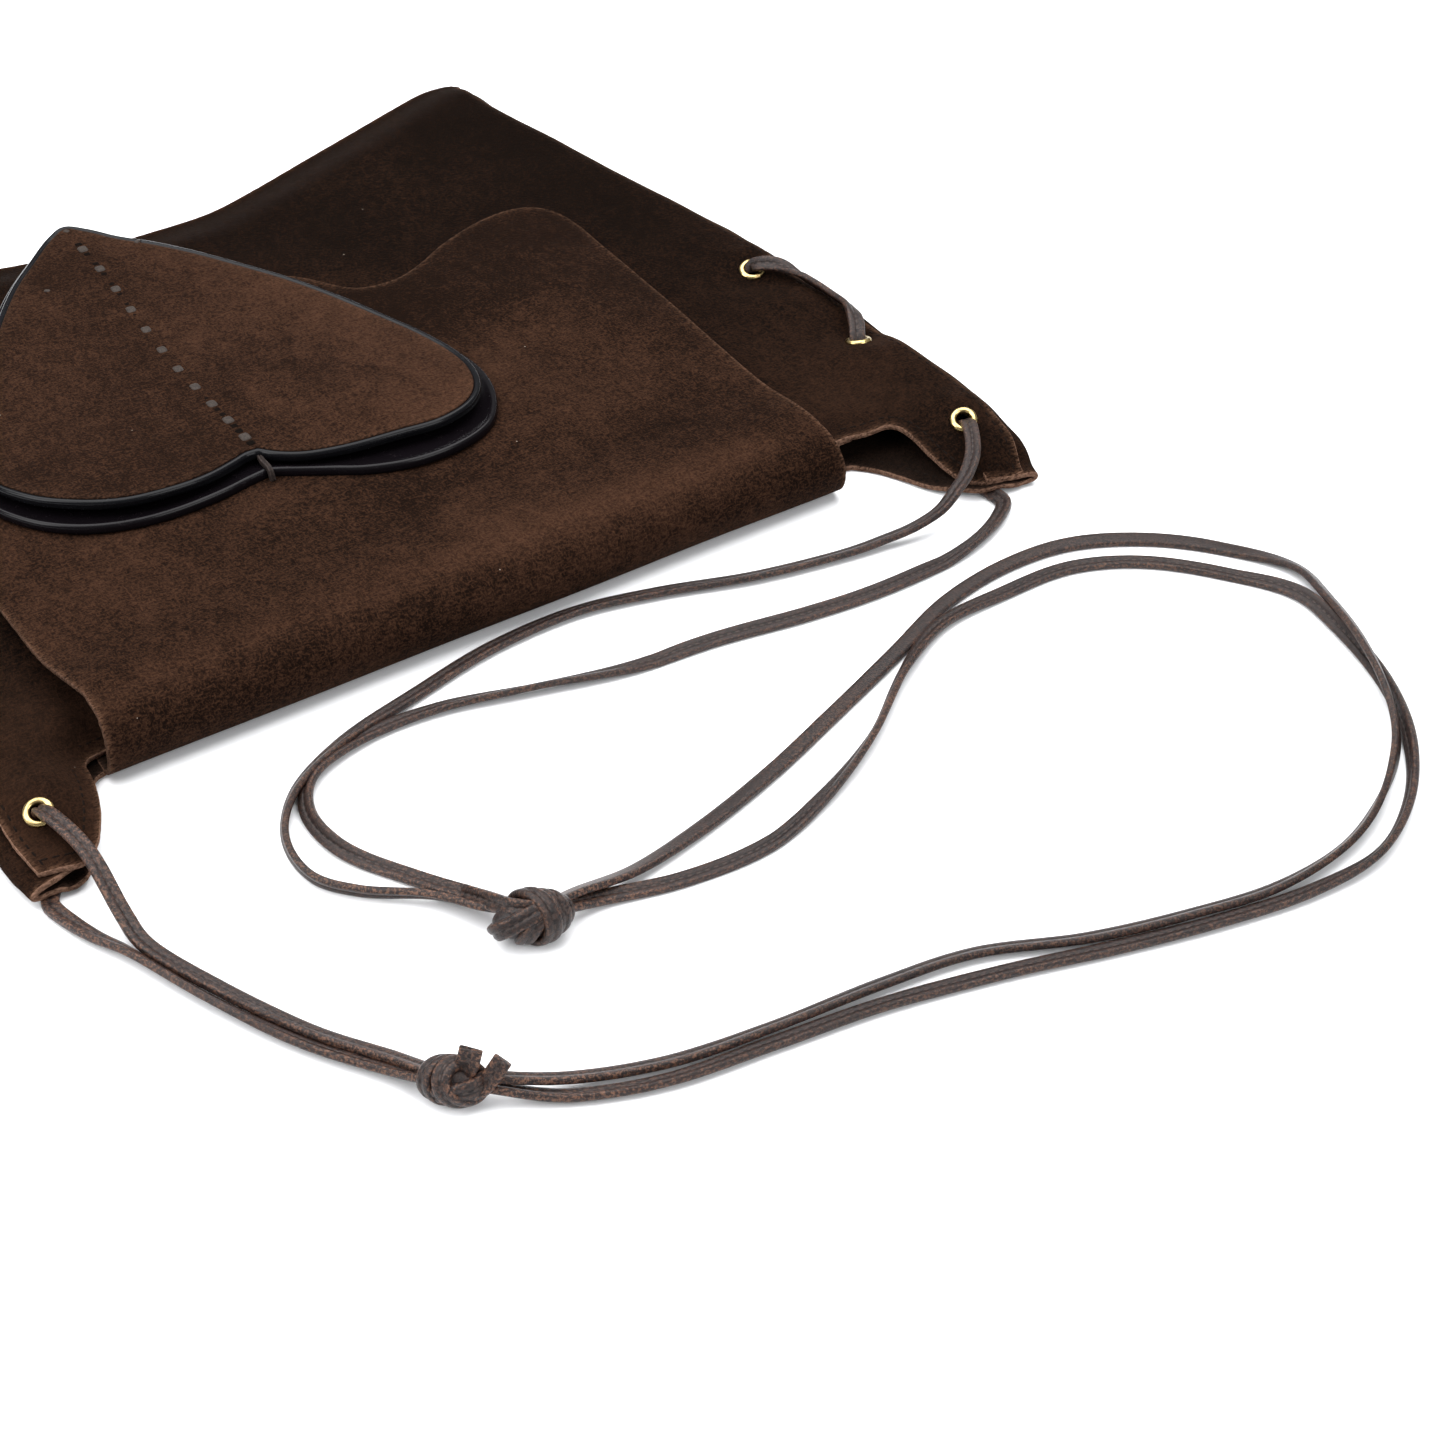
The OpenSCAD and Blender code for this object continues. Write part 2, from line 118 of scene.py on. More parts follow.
def spline(points, step=1.5, count=None):
    """A smooth line through the points (Catmull-Rom), evenly resampled."""
    p = np.asarray(points, float)
    p = np.vstack([2 * p[0] - p[1], p, 2 * p[-1] - p[-2]])
    t = np.linspace(0, 1, 14, endpoint=False)[:, None]
    pieces = []
    for a, b, c, d in zip(p[:-3], p[1:-2], p[2:-1], p[3:]):
        ab, bc, cd = (math.sqrt(np.linalg.norm(w - v)) + 1e-9 for v, w in ((a, b), (b, c), (c, d)))
        start = (c - b) + bc * ((b - a) / ab - (c - a) / (ab + bc))
        end = (c - b) + bc * ((d - c) / cd - (d - b) / (bc + cd))
        pieces.append((2 * t**3 - 3 * t**2 + 1) * b + (t**3 - 2 * t**2 + t) * start
                      + (3 * t**2 - 2 * t**3) * c + (t**3 - t**2) * end)
    pieces.append(p[-2:-1])
    return resample(np.vstack(pieces), count=count, step=step)


def length_of(path):
    return float(np.linalg.norm(np.diff(path, axis=0), axis=1).sum())


def patch(low, high, left, right, rows, cols):
    """A grid of plan points that fills four edge lines (a Coons patch)."""
    c0, c1 = resample(low, cols), resample(high, cols)
    d0, d1 = resample(left, rows), resample(right, rows)
    u = np.linspace(0, 1, cols)[None, :, None]
    v = np.linspace(0, 1, rows)[:, None, None]
    ruled = (1 - v) * c0[None] + v * c1[None] + (1 - u) * d0[:, None] + u * d1[:, None]
    corners = ((1 - u) * (1 - v) * c0[0] + u * (1 - v) * c0[-1]
               + (1 - u) * v * c1[0] + u * v * c1[-1])
    return ruled - corners


# ---------------------------------------------------------------- meshes

def grid_faces(rows, cols, close_rows=False, close_cols=False, first=0):
    r = np.arange(rows if close_rows else rows - 1)
    c = np.arange(cols if close_cols else cols - 1)
    a = (r[:, None] * cols + c[None]).ravel()
    b = (r[:, None] * cols + (c[None] + 1) % cols).ravel()
    up = ((r[:, None] + 1) % rows) * cols
    d = (up + c[None]).ravel()
    e = (up + (c[None] + 1) % cols).ravel()
    return np.stack([a, b, e, d], axis=1) + first


def add_mesh(name, verts, faces, materials, face_material=None, attributes=None):
    """A smooth mesh piece. Every point keeps its place at rest, in millimetres, for its material."""
    verts = np.asarray(verts, float)
    data = bpy.data.meshes.new(name)
    data.from_pydata((verts * MM).tolist(), [], [list(map(int, f)) for f in faces])
    for m in materials:
        data.materials.append(m)
    if face_material is not None:
        data.polygons.foreach_set("material_index", np.asarray(face_material, np.int32))
    data.polygons.foreach_set("use_smooth", np.ones(len(data.polygons), bool))
    rest = data.attributes.new("rest", "FLOAT_VECTOR", "POINT")
    rest.data.foreach_set("vector", verts.astype(np.float32).ravel())
    for key, values in (attributes or {}).items():
        layer = data.attributes.new(key, "FLOAT", "POINT")
        layer.data.foreach_set("value", np.asarray(values, np.float32).ravel())
    data.update()
    obj = bpy.data.objects.new(name, data)
    bpy.context.scene.collection.objects.link(obj)
    return obj


def grid_normals(p):
    along, across = np.gradient(p, axis=0), np.gradient(p, axis=1)
    return unit(np.cross(across, along))


def border(rows, cols):
    """Indices around a grid's edge, and each one's next neighbour inwards."""
    index = np.arange(rows * cols).reshape(rows, cols)
    ring = np.concatenate([index[0, :-1], index[:-1, -1], index[-1, :0:-1], index[:0:-1, 0]])
    inner = index[np.clip(np.arange(rows), 1, rows - 2)][:, np.clip(np.arange(cols), 1, cols - 2)]
    inner = np.concatenate([inner[0, :-1], inner[:-1, -1], inner[-1, :0:-1], inner[:0:-1, 0]])
    return ring, inner


def leather_sheet(name, grid, thick, materials, holes=(), tone_and_painted_light=None):
    """A leather panel from a grid of middle points: outer face, flesh face and a rounded raw edge.

    materials are for the outer face, the raw edge and the flesh face."""
    rows, cols, _ = grid.shape
    normal = grid_normals(grid).reshape(-1, 3)
    middle = grid.reshape(-1, 3)
    ring, inner = border(rows, cols)
    outward = unit(middle[ring] - middle[inner])
    outward = unit(outward - (outward * normal[ring]).sum(1, keepdims=True) * normal[ring])
    half = thick / 2
    turns = np.radians([60, 20, -20, -60])
    ragged = 1 + 0.16 * np.random.default_rng(len(name)).normal(size=len(ring))
    edge = [middle[ring] + half * math.sin(w) * normal[ring]
            + (half * 0.55 * math.cos(w) * ragged)[:, None] * outward for w in turns]
    verts = np.vstack([middle + half * normal, middle - half * normal] + edge)
    n = len(middle)
    faces = grid_faces(rows, cols)
    centre = middle[faces].mean(1)
    keep = np.ones(len(faces), bool)
    for hole in holes:
        keep &= np.linalg.norm(centre[:, :2] - np.array(hole[:2]), axis=1) > hole[2]
    faces = faces[keep]
    loops = [ring] + [2 * n + k * len(ring) + np.arange(len(ring)) for k in range(len(turns))]
    loops.append(ring + n)
    rim = np.vstack([np.stack([a, np.roll(a, -1), np.roll(b, -1), b], axis=1)
                     for b, a in zip(loops[:-1], loops[1:])])
    all_faces = np.vstack([faces, faces[:, ::-1] + n, rim])
    slots = np.concatenate([np.zeros(len(faces)), np.full(len(faces), 2), np.ones(len(rim))])
    tree = KDTree(len(ring))
    for k, p in enumerate(middle[ring]):
        tree.insert(p, k)
    tree.balance()
    gap = np.array([tree.find(p)[2] for p in middle])
    worn = np.exp(-gap / 0.9)
    worn = np.concatenate([worn, worn, np.ones(len(turns) * len(ring))])
    # The per-point tone field holds random tone plus painted light and shade, for the suede's colour.
    tone_and_painted_light = np.zeros(n) if tone_and_painted_light is None else np.asarray(tone_and_painted_light, float).ravel()
    tone_and_painted_light = np.concatenate([tone_and_painted_light, tone_and_painted_light, np.tile(tone_and_painted_light[ring], len(turns))])
    return add_mesh(name, verts, all_faces, materials, slots, {"worn": worn, "tone_and_painted_light": tone_and_painted_light})


# ---------------------------------------------------------------- material nodes

def new_node(tree, kind, inputs=None, **settings):
    made = tree.nodes.new(kind)
    for key, value in settings.items():
        setattr(made, key, value)
    for key, value in (inputs or {}).items():
        if isinstance(value, bpy.types.NodeSocket):
            tree.links.new(value, made.inputs[key])
        else:
            made.inputs[key].default_value = value
    return made


def noise(tree, place, size, detail=3.0, rough=0.55, twist=0.0):
    """Fractal noise whose largest lumps are about size millimetres."""
    return new_node(tree, "ShaderNodeTexNoise", {
        "Vector": place, "Scale": 1 / size, "Detail": detail, "Roughness": rough,
        "Distortion": twist}).outputs["Fac"]


def sums(tree, op, a, b=0.0, clamp=False):
    return new_node(tree, "ShaderNodeMath", {0: a, 1: b}, operation=op, use_clamp=clamp).outputs[0]


def ranged(tree, value, low, high, to_low=0.0, to_high=1.0):
    return new_node(tree, "ShaderNodeMapRange", {
        "Value": value, "From Min": low, "From Max": high, "To Min": to_low, "To Max": to_high},
        interpolation_type="SMOOTHSTEP").outputs[0]


def blend_color(tree, amount, a, b, mode="MIX"):
    mixer = new_node(tree, "ShaderNodeMix", data_type="RGBA", blend_type=mode)
    for socket, value in ((0, amount), (6, a), (7, b)):
        if isinstance(value, bpy.types.NodeSocket):
            tree.links.new(value, mixer.inputs[socket])
        else:
            mixer.inputs[socket].default_value = value if socket == 0 else (*value, 1)
    return mixer.outputs[2]


def attribute(tree, name, output="Fac"):
    return new_node(tree, "ShaderNodeAttribute", attribute_name=name).outputs[output]


def stretched(tree, place, scale):
    return new_node(tree, "ShaderNodeMapping", {"Vector": place, "Scale": scale}).outputs[0]


def finish_material(tree, shader, color, rough, height, bump, distance_mm, **uniform):
    tree.links.new(color, shader.inputs["Base Color"])
    tree.links.new(rough, shader.inputs["Roughness"])
    normal = new_node(tree, "ShaderNodeBump", {
        "Height": height, "Strength": bump, "Distance": distance_mm * MM}).outputs[0]
    tree.links.new(normal, shader.inputs["Normal"])
    for key, value in uniform.items():
        shader.inputs[key.replace("_", " ")].default_value = value


def start_material(name):
    made = bpy.data.materials.new(name)
    made.use_nodes = True
    tree = made.node_tree
    return made, tree, tree.nodes["Principled BSDF"]


def suede(name, dark, light, worn_color, sheen=0.035, worn_share=0.35):
    """Napped leather: brushed patches, mottling, short crossed fibres, lint and lighter worn edges, plus
    painted light and shade that each piece lays out in a point attribute.
    """
    made, tree, shader = start_material(name)
    place = attribute(tree, "rest", "Vector")
    tone_and_painted_light = attribute(tree, "tone_and_painted_light")
    brushed = noise(tree, place, 60, 3, 0.5, 0.8)
    mottled = noise(tree, stretched(tree, place, (1.0, 0.6, 1.0)), 6.5, 4, 0.62, 0.4)
    one_way = noise(tree, stretched(tree, place, (1.3, 0.5, 1.0)), 0.85, 3, 0.65)
    other_way = noise(tree, stretched(tree, place, (0.5, 1.3, 1.0)), 0.85, 3, 0.65)
    fibres = ranged(tree, sums(tree, "MAXIMUM", one_way, other_way), 0.42, 0.70)
    tone = sums(tree, "ADD", sums(tree, "MULTIPLY", fibres, 0.72),
                sums(tree, "MULTIPLY", ranged(tree, mottled, 0.3, 0.72), 0.22))
    tone = sums(tree, "ADD", tone, sums(tree, "MULTIPLY", ranged(tree, brushed, 0.3, 0.7), 0.20))
    # painted light and shade: each piece's point attribute lightens and darkens the tone by place
    tone = sums(tree, "ADD", tone, sums(tree, "MULTIPLY", tone_and_painted_light, 0.8))
    tone = sums(tree, "ADD", tone, -0.215, clamp=True)
    color = blend_color(tree, tone, dark, light)
    worn = sums(tree, "MULTIPLY", attribute(tree, "worn"), ranged(tree, other_way, 0.36, 0.62), clamp=True)
    color = blend_color(tree, sums(tree, "MULTIPLY", worn, worn_share), color, worn_color)
    cells = new_node(tree, "ShaderNodeTexVoronoi", {"Vector": place, "Scale": 1 / 13})
    lint = ranged(tree, cells.outputs["Distance"], 0.022, 0.012)
    chosen = ranged(tree, noise(tree, place, 31, 1), 0.5, 0.53)
    color = blend_color(tree, sums(tree, "MULTIPLY", lint, chosen), color, (0.30, 0.25, 0.21))
    rough = ranged(tree, fibres, 0.1, 0.9, 0.85, 1.0)
    height = sums(tree, "ADD", fibres, sums(tree, "MULTIPLY", mottled, 1.5))
    finish_material(tree, shader, color, rough, height, 0.5, 0.42, Specular_IOR_Level=0.025,
                    Sheen_Weight=sheen, Sheen_Roughness=0.4, Sheen_Tint=(0.55, 0.31, 0.20, 1))
    return made


def glossy_leather(name, base, glint, rough, coat):
    """Moulded or edge-painted leather: near black, faint ripples along it, small scuffs."""
    made, tree, shader = start_material(name)
    place = attribute(tree, "rest", "Vector")
    ripples = noise(tree, place, 7, 2, 0.5)
    pores = noise(tree, place, 0.7, 3, 0.6)
    scuffs = ranged(tree, noise(tree, stretched(tree, place, (1, 1, 3)), 4, 5, 0.75), 0.56, 0.72)
    color = blend_color(tree, sums(tree, "MULTIPLY", scuffs, 0.5), base, glint)
    shine = sums(tree, "ADD", ranged(tree, scuffs, 0, 1, rough, rough + 0.2),
                 ranged(tree, pores, 0.3, 0.7, -0.03, 0.05))
    height = sums(tree, "ADD", sums(tree, "MULTIPLY", ripples, 1.6), sums(tree, "MULTIPLY", pores, 0.35))
    finish_material(tree, shader, color, shine, height, 0.3, 0.22, Specular_IOR_Level=0.11,
                    Coat_Weight=coat, Coat_Roughness=0.10)
    return made


def lace_leather(name, stitched=True):
    """Stitched strap leather: crackled grain, thread in its groove with painted shade, tan wear on its edges.
    """
    made, tree, shader = start_material(name)
    place = attribute(tree, "rest", "Vector")
    grain = new_node(tree, "ShaderNodeTexVoronoi", {"Vector": place, "Scale": 1 / 0.7},
                     feature="DISTANCE_TO_EDGE").outputs["Distance"]
    cracks = ranged(tree, grain, 0.0, 0.16)
    patches = noise(tree, place, 24, 3, 0.6)
    specks = noise(tree, place, 0.9, 3, 0.7)
    tone = sums(tree, "ADD", sums(tree, "MULTIPLY", ranged(tree, patches, 0.3, 0.7), 0.6),
                sums(tree, "MULTIPLY", ranged(tree, specks, 0.35, 0.65), 0.4))
    color = blend_color(tree, tone, (0.0056, 0.0033, 0.0032), (0.0220, 0.0130, 0.0115))
    color = blend_color(tree, sums(tree, "MULTIPLY", sums(tree, "SUBTRACT", 1.0, cracks), 0.6), color,
                        (0.008, 0.005, 0.005))
    wear = sums(tree, "MULTIPLY", attribute(tree, "worn"), ranged(tree, specks, 0.47, 0.62))
    color = blend_color(tree, sums(tree, "MINIMUM", wear, 0.85), color, (0.135, 0.066, 0.041))
    height = sums(tree, "ADD", cracks, sums(tree, "MULTIPLY", specks, 0.5))
    if stitched:
        across, along = attribute(tree, "across"), attribute(tree, "along")
        groove = ranged(tree, sums(tree, "ABSOLUTE", across), 0.21, 0.07)
        beat = sums(tree, "SINE", sums(tree, "MULTIPLY", along, 2 * math.pi / 2.9))
        thread = sums(tree, "MULTIPLY", groove, ranged(tree, beat, -0.2, 0.25))
        # Painted shade darkens the stitch groove, a recess under the thread.
        color = blend_color(tree, sums(tree, "MULTIPLY", groove, 0.75), color, (0.005, 0.003, 0.003))
        color = blend_color(tree, sums(tree, "MULTIPLY", thread, 0.6), color, (0.060, 0.042, 0.036))
        height = sums(tree, "ADD", height, sums(tree, "MULTIPLY", thread, 1.6))
    rough = ranged(tree, patches, 0.3, 0.7, 0.32, 0.46)
    finish_material(tree, shader, color, rough, height, 0.5, 0.16, Specular_IOR_Level=0.26)
    return made


def brass(name):
    """Lacquered brass with a little brown tarnish and fine turning marks."""
    made, tree, shader = start_material(name)
    place = attribute(tree, "rest", "Vector")
    tarnish = ranged(tree, noise(tree, place, 2.6, 4, 0.65), 0.45, 0.72)
    marks = noise(tree, stretched(tree, place, (1, 1, 12)), 1.2, 2, 0.5)
    color = blend_color(tree, sums(tree, "MULTIPLY", tarnish, 0.6),
                        (0.50, 0.375, 0.165), (0.17, 0.105, 0.045))
    finish_material(tree, shader, color, ranged(tree, tarnish, 0, 1, 0.22, 0.42), marks, 0.2, 0.05,
                    Metallic=1.0)
    return made


def thong_leather(name, dark, light, shine=0.2):
    """Soft matt thong or thread: fibrous along and across, no shine. It also paints the shade inside the
    heart's lacing holes.
    """
    made, tree, shader = start_material(name)
    place = attribute(tree, "rest", "Vector")
    strands = noise(tree, stretched(tree, place, (2.2, 0.7, 1)), 0.8, 3, 0.65)
    color = blend_color(tree, ranged(tree, strands, 0.3, 0.7), dark, light)
    finish_material(tree, shader, color, ranged(tree, strands, 0.2, 0.8, 0.6, 0.8), strands, 0.5, 0.2,
                    Specular_IOR_Level=shine)
    return made


def floor_material():
    made, tree, shader = start_material("paper_white")
    place = new_node(tree, "ShaderNodeNewGeometry").outputs["Position"]
    tooth = noise(tree, place, 0.004, 2, 0.5)
    color = blend_color(tree, tooth, (0.90, 0.905, 0.92), (0.92, 0.925, 0.94))
    finish_material(tree, shader, color, ranged(tree, tooth, 0, 1, 0.85, 0.95), tooth, 0.02, 0.1,
                    Specular_IOR_Level=0.1)
    return made


MAT = {
    # suede_outer, suede_flap and suede_heart are one suede at three brightnesses: painted shade on the
    # panels' copy, painted light on the flap's copy and more on the heart's.
    "suede": suede("suede_outer", (0.0021, 0.0010, 0.0006), (0.0210, 0.0098, 0.0056),
                   (0.16, 0.085, 0.052)),
    "flap": suede("suede_flap", (0.0046, 0.0021, 0.0012), (0.0440, 0.0205, 0.0117),
                  (0.16, 0.085, 0.052)),
    "heart": suede("suede_heart", (0.0068, 0.0031, 0.0018), (0.0500, 0.0233, 0.0133),
                   (0.13, 0.07, 0.045)),
    "raw": suede("suede_raw_edge", (0.028, 0.0150, 0.0100), (0.135, 0.075, 0.050),
                 (0.21, 0.12, 0.082), worn_share=0.5),
    "raw_dark": suede("suede_flap_edge", (0.018, 0.0100, 0.0068), (0.080, 0.044, 0.029),
                      (0.11, 0.062, 0.042)),
    "flesh": suede("suede_flesh", (0.0026, 0.0015, 0.0011), (0.0105, 0.0060, 0.0042),
                   (0.07, 0.04, 0.028)),
    "gloss": glossy_leather("moulded_leather", (0.0034, 0.0026, 0.0034), (0.012, 0.009, 0.010), 0.18, 0.05),
    "paint": glossy_leather("painted_edge", (0.0030, 0.0030, 0.0038), (0.010, 0.010, 0.011), 0.18, 0.05),
    # painted shade for the heart's lacing holes
    "hole_shade": thong_leather("lacing_hole_shade", (0.0015, 0.0009, 0.0007), (0.005, 0.003, 0.002), 0.02),
    "lace": lace_leather("lace_stitched"),
    "lace_plain": lace_leather("lace_hidden_runs", stitched=False),
    "brass": brass("eyelet_brass"),
    "thong": thong_leather("heart_thong", (0.013, 0.0096, 0.0080), (0.042, 0.0315, 0.0260)),
    "tie": thong_leather("cleft_thong", (0.007, 0.0045, 0.004), (0.028, 0.019, 0.016)),
    "thread": thong_leather("seam_thread", (0.0025, 0.0015, 0.0011), (0.0090, 0.0055, 0.0040), 0.03),
}


# ---------------------------------------------------------------- camera

def make_camera():
    """The viewpoint: low, left of the bag and in front of its mouth, looking down 41 degrees."""
    place = Vector((-0.3280, -0.7732, 0.5663))
    down = math.radians(41)
    heading = Vector((0.5427, 0.8399, 0)).normalized()
    look = heading * math.cos(down) - Vector((0, 0, math.sin(down)))
    data = bpy.data.cameras.new("view")
    data.sensor_width = 36
    data.lens = 67.87
    data.clip_end = 50
    camera = bpy.data.objects.new("view", data)
    camera.location = place
    camera.rotation_euler = look.to_track_quat("-Z", "Y").to_euler()
    bpy.context.scene.collection.objects.link(camera)
    bpy.context.scene.camera = camera


make_camera()

# ---------------------------------------------------------------- laces

# Half of the flat lace's outline: (across, up) as shares of its half width and half thickness.
LACE_TOP = [(1.0, 0.1), (0.985, 0.5), (0.93, 0.82), (0.80, 0.97), (0.55, 1.0), (0.28, 0.95),
            (0.12, 0.74), (0.0, 0.55), (-0.12, 0.74), (-0.28, 0.95), (-0.55, 1.0), (-0.80, 0.97),
            (-0.93, 0.82), (-0.985, 0.5), (-1.0, 0.1)]
LACE_BACK = [(-0.985, -0.5), (-0.9, -0.88), (-0.5, -1.0), (0.0, -0.96), (0.5, -1.0), (0.9, -0.88),
             (0.985, -0.5)]
LACE_SECTION = np.array(LACE_TOP + LACE_BACK)


def lace_frames(path, roll, facing=None, closed=False):
    """Across and up directions of a flat lace at each point. facing gives its outward side."""
    ahead = np.roll(path, -1, axis=0) - np.roll(path, 1, axis=0) if closed else np.gradient(path, axis=0)
    tangent = unit(ahead)
    if facing is None:
        side = np.cross(tangent, [0, 0, 1.0])
        size = np.linalg.norm(side, axis=1)
        good = np.flatnonzero(size > 0.2)
        places = np.arange(len(path))
        side = np.stack([np.interp(places, good, side[good, k]) for k in range(3)], axis=1)
        kernel = np.hanning(9)[1:-1] / np.hanning(9).sum()
        padded = np.pad(side, ((3, 3), (0, 0)), mode="edge")
        side = np.stack([np.convolve(padded[:, k], kernel, "valid") for k in range(3)], axis=1)
    else:
        side = np.cross(tangent, facing)
    side = unit(side - (side * tangent).sum(1, keepdims=True) * tangent)
    up = np.cross(side, tangent)
    c, s = np.cos(roll)[:, None], np.sin(roll)[:, None]
    return c * side + s * up, c * up - s * side


def sweep_lace(name, path, roll=None, width=None, facing=None, closed=False, wear=None, curl=None):
    """A flat stitched lace along a path, with rounded ends unless it is a closed wrap."""
    n = len(path)
    roll = np.zeros(n) if roll is None else roll
    width = np.ones(n) if width is None else width
    wear = np.zeros(n) if wear is None else wear
    curl = np.zeros(n) if curl is None else curl
    side, up = lace_frames(path, roll, facing, closed)
    a = LACE_SECTION[:, 0][None, :, None] * (width * LACE_W / 2)[:, None, None]
    b = LACE_SECTION[:, 1][None, :, None] * LACE_T / 2 * np.ones((n, 1, 1))
    b = b - (curl[:, None, None] * (a / (LACE_W / 2)) ** 2)
    rings = path[:, None] + a * side[:, None] + b * up[:, None]
    along = np.concatenate([[0], np.cumsum(np.linalg.norm(np.diff(path, axis=0), axis=1))])
    k = LACE_SECTION.shape[0]
    across = np.where(np.arange(k) < len(LACE_TOP), LACE_SECTION[:, 0], 2.0)
    edge_wear = np.where(np.abs(LACE_SECTION[:, 0]) > 0.75, 0.75, 0.12)
    verts = rings.reshape(-1, 3)
    values = {"across": np.tile(across, n), "along": np.repeat(along, k),
              "worn": np.clip(edge_wear[None] * (0.45 + wear[:, None]) + 0.55 * wear[:, None], 0, 1)}
    faces = grid_faces(n, k, close_rows=closed, close_cols=True).tolist()
    if not closed:
        centres = path[[0, -1]]
        verts = np.vstack([verts, centres])
        first, last = n * k, n * k + 1
        faces += [[first, (i + 1) % k, i] for i in range(k)]
        faces += [[last, (n - 1) * k + i, (n - 1) * k + (i + 1) % k] for i in range(k)]
        values = {"across": np.append(values["across"], [2, 2]),
                  "along": np.append(values["along"], [0, 0]),
                  "worn": np.append(values["worn"], [1, 1])}
    return add_mesh(name, verts, faces, [MAT["lace"]], None, values)


# The strap's two strands, from the right ear to the left ear.
END_RIGHT = [[176, -150, 12], [176, -150, 14.6], [175.4, -153.6, 17], [172, -160.4, 16.6],
             [166.2, -168.6, 15.3], [157.5, -175.8, 13], [151, -178.6, 10.8]]
END_LEFT = [[-176, -162, 12], [-176, -162, 14.5], [-175, -166.5, 16.3], [-172.8, -176, 16.5],
            [-171, -185.6, 15], [-170.4, -194.2, 12.5], [-170.3, -200, 10]]
FRONT_ROUTE = [
    [150.4, -178.9, 10.5], [143.8, -181, 8], [133.4, -180.8, 5], [121, -179, 3],
    [108, -177.4, 2.1], [74.5, -171, 2.1], [42, -160.5, 2.1], [14, -154.5, 2.1],
    [-18, -155.5, 2.1], [-49, -162.5, 2.1], [-81, -171.5, 2.1], [-103.5, -184.5, 2.1],
    [-115.5, -202.5, 2.1], [-116, -222, 2.1], [-107, -234.5, 2.1], [-90.5, -248.5, 3.3],
    [-80, -265, 6.5], [-70.5, -273.5, 7.9], [-54.5, -272.5, 6.1], [-35, -271, 2.9],
    [-8.5, -265.5, 2.1], [23, -256, 2.1], [56.5, -243, 2.1], [90, -229.5, 2.1],
    [120.5, -216.5, 2.1], [150, -211.5, 2.1], [174.5, -214, 2.1], [199, -226.5, 2.1],
    [219, -246.5, 2.1], [230, -266.5, 2.1], [227, -285, 2.9], [218.5, -309.5, 5.4],
    [206.5, -334.5, 5.7], [196.5, -350, 2.6], [176, -366, 2.1], [151.5, -377, 2.1],
    [122.5, -379.5, 2.1], [92, -374, 2.1], [61.5, -365.5, 2.1], [30, -352.5, 2.1],
    [1.5, -348, 2.1], [-34.5, -345, 2.1], [-66, -340, 2.1], [-92.5, -331.5, 3.7],
    [-110.5, -323.5, 7.3], [-122.5, -313.5, 7.3], [-130, -297.5, 3.3], [-143.5, -276.5, 2.1],
    [-158.5, -246, 2.1], [-169, -219.5, 3.2], [-170, -210, 5.8], [-170.3, -200.7, 9.7]]
BACK_START = [[168.2, -162, 1.2], [169.8, -175, 1.4]]
BACK_ROUTE = [
    [170, -182.7, 2.1], [163.5, -188.5, 2.1], [155, -193, 2.1], [145, -196.4, 2.1],
    [134, -198.4, 2.1], [106, -199.5, 2.1], [77.5, -197, 2.1], [45, -191.5, 2.1],
    [12, -188.5, 2.1], [-17, -181.5, 2.1], [-48, -173, 2.1], [-73.5, -172.5, 2.1],
    [-96, -181, 2.1], [-104.5, -195, 2.1], [-103.5, -214, 2.1], [-90, -238, 2.7],
    [-79, -258, 5.5], [-71.5, -271.5, 8], [-60.5, -275, 6.6], [-49, -275, 3.4],
    [-24, -280.5, 2.1], [5, -282, 2.1], [31.5, -274, 2.1], [60, -259.5, 2.1], [87, -239, 2.1],
    [111.5, -225.5, 2.1], [138.5, -223, 2.1], [166.5, -224, 2.1], [188, -234, 2.1],
    [207, -253, 2.1], [221.5, -276.5, 2.1], [220.5, -296.5, 2.1], [213, -327.5, 2.1],
    [199.5, -353, 2.1], [180, -373, 2.1], [157, -385, 2.1], [131, -386, 2.1], [97.5, -380.5, 2.1],
    [64.5, -372, 2.1], [30, -362, 2.1], [-3, -354.5, 2.1], [-36.5, -350, 2.1],
    [-69.5, -345.5, 2.1], [-95.5, -335.5, 2.1], [-114.5, -323, 5.6], [-125, -315.5, 7.3],
    [-132.5, -302, 3.2], [-147.5, -279.5, 2.1], [-162.5, -250, 2.1], [-175, -218.5, 2.1],
    [-179.5, -209.5, 2.1], [-183.2, -199, 2.1], [-185.2, -189, 2.1]]
BACK_END = [[-183.0, -184, 1.5], [-176.5, -175.5, 1.2]]
ROUTE_REST_Z = 2.1


def near(path, place, reach):
    return np.exp(-(np.linalg.norm(path[:, :2] - np.asarray(place)[:2], axis=1) / reach) ** 2)


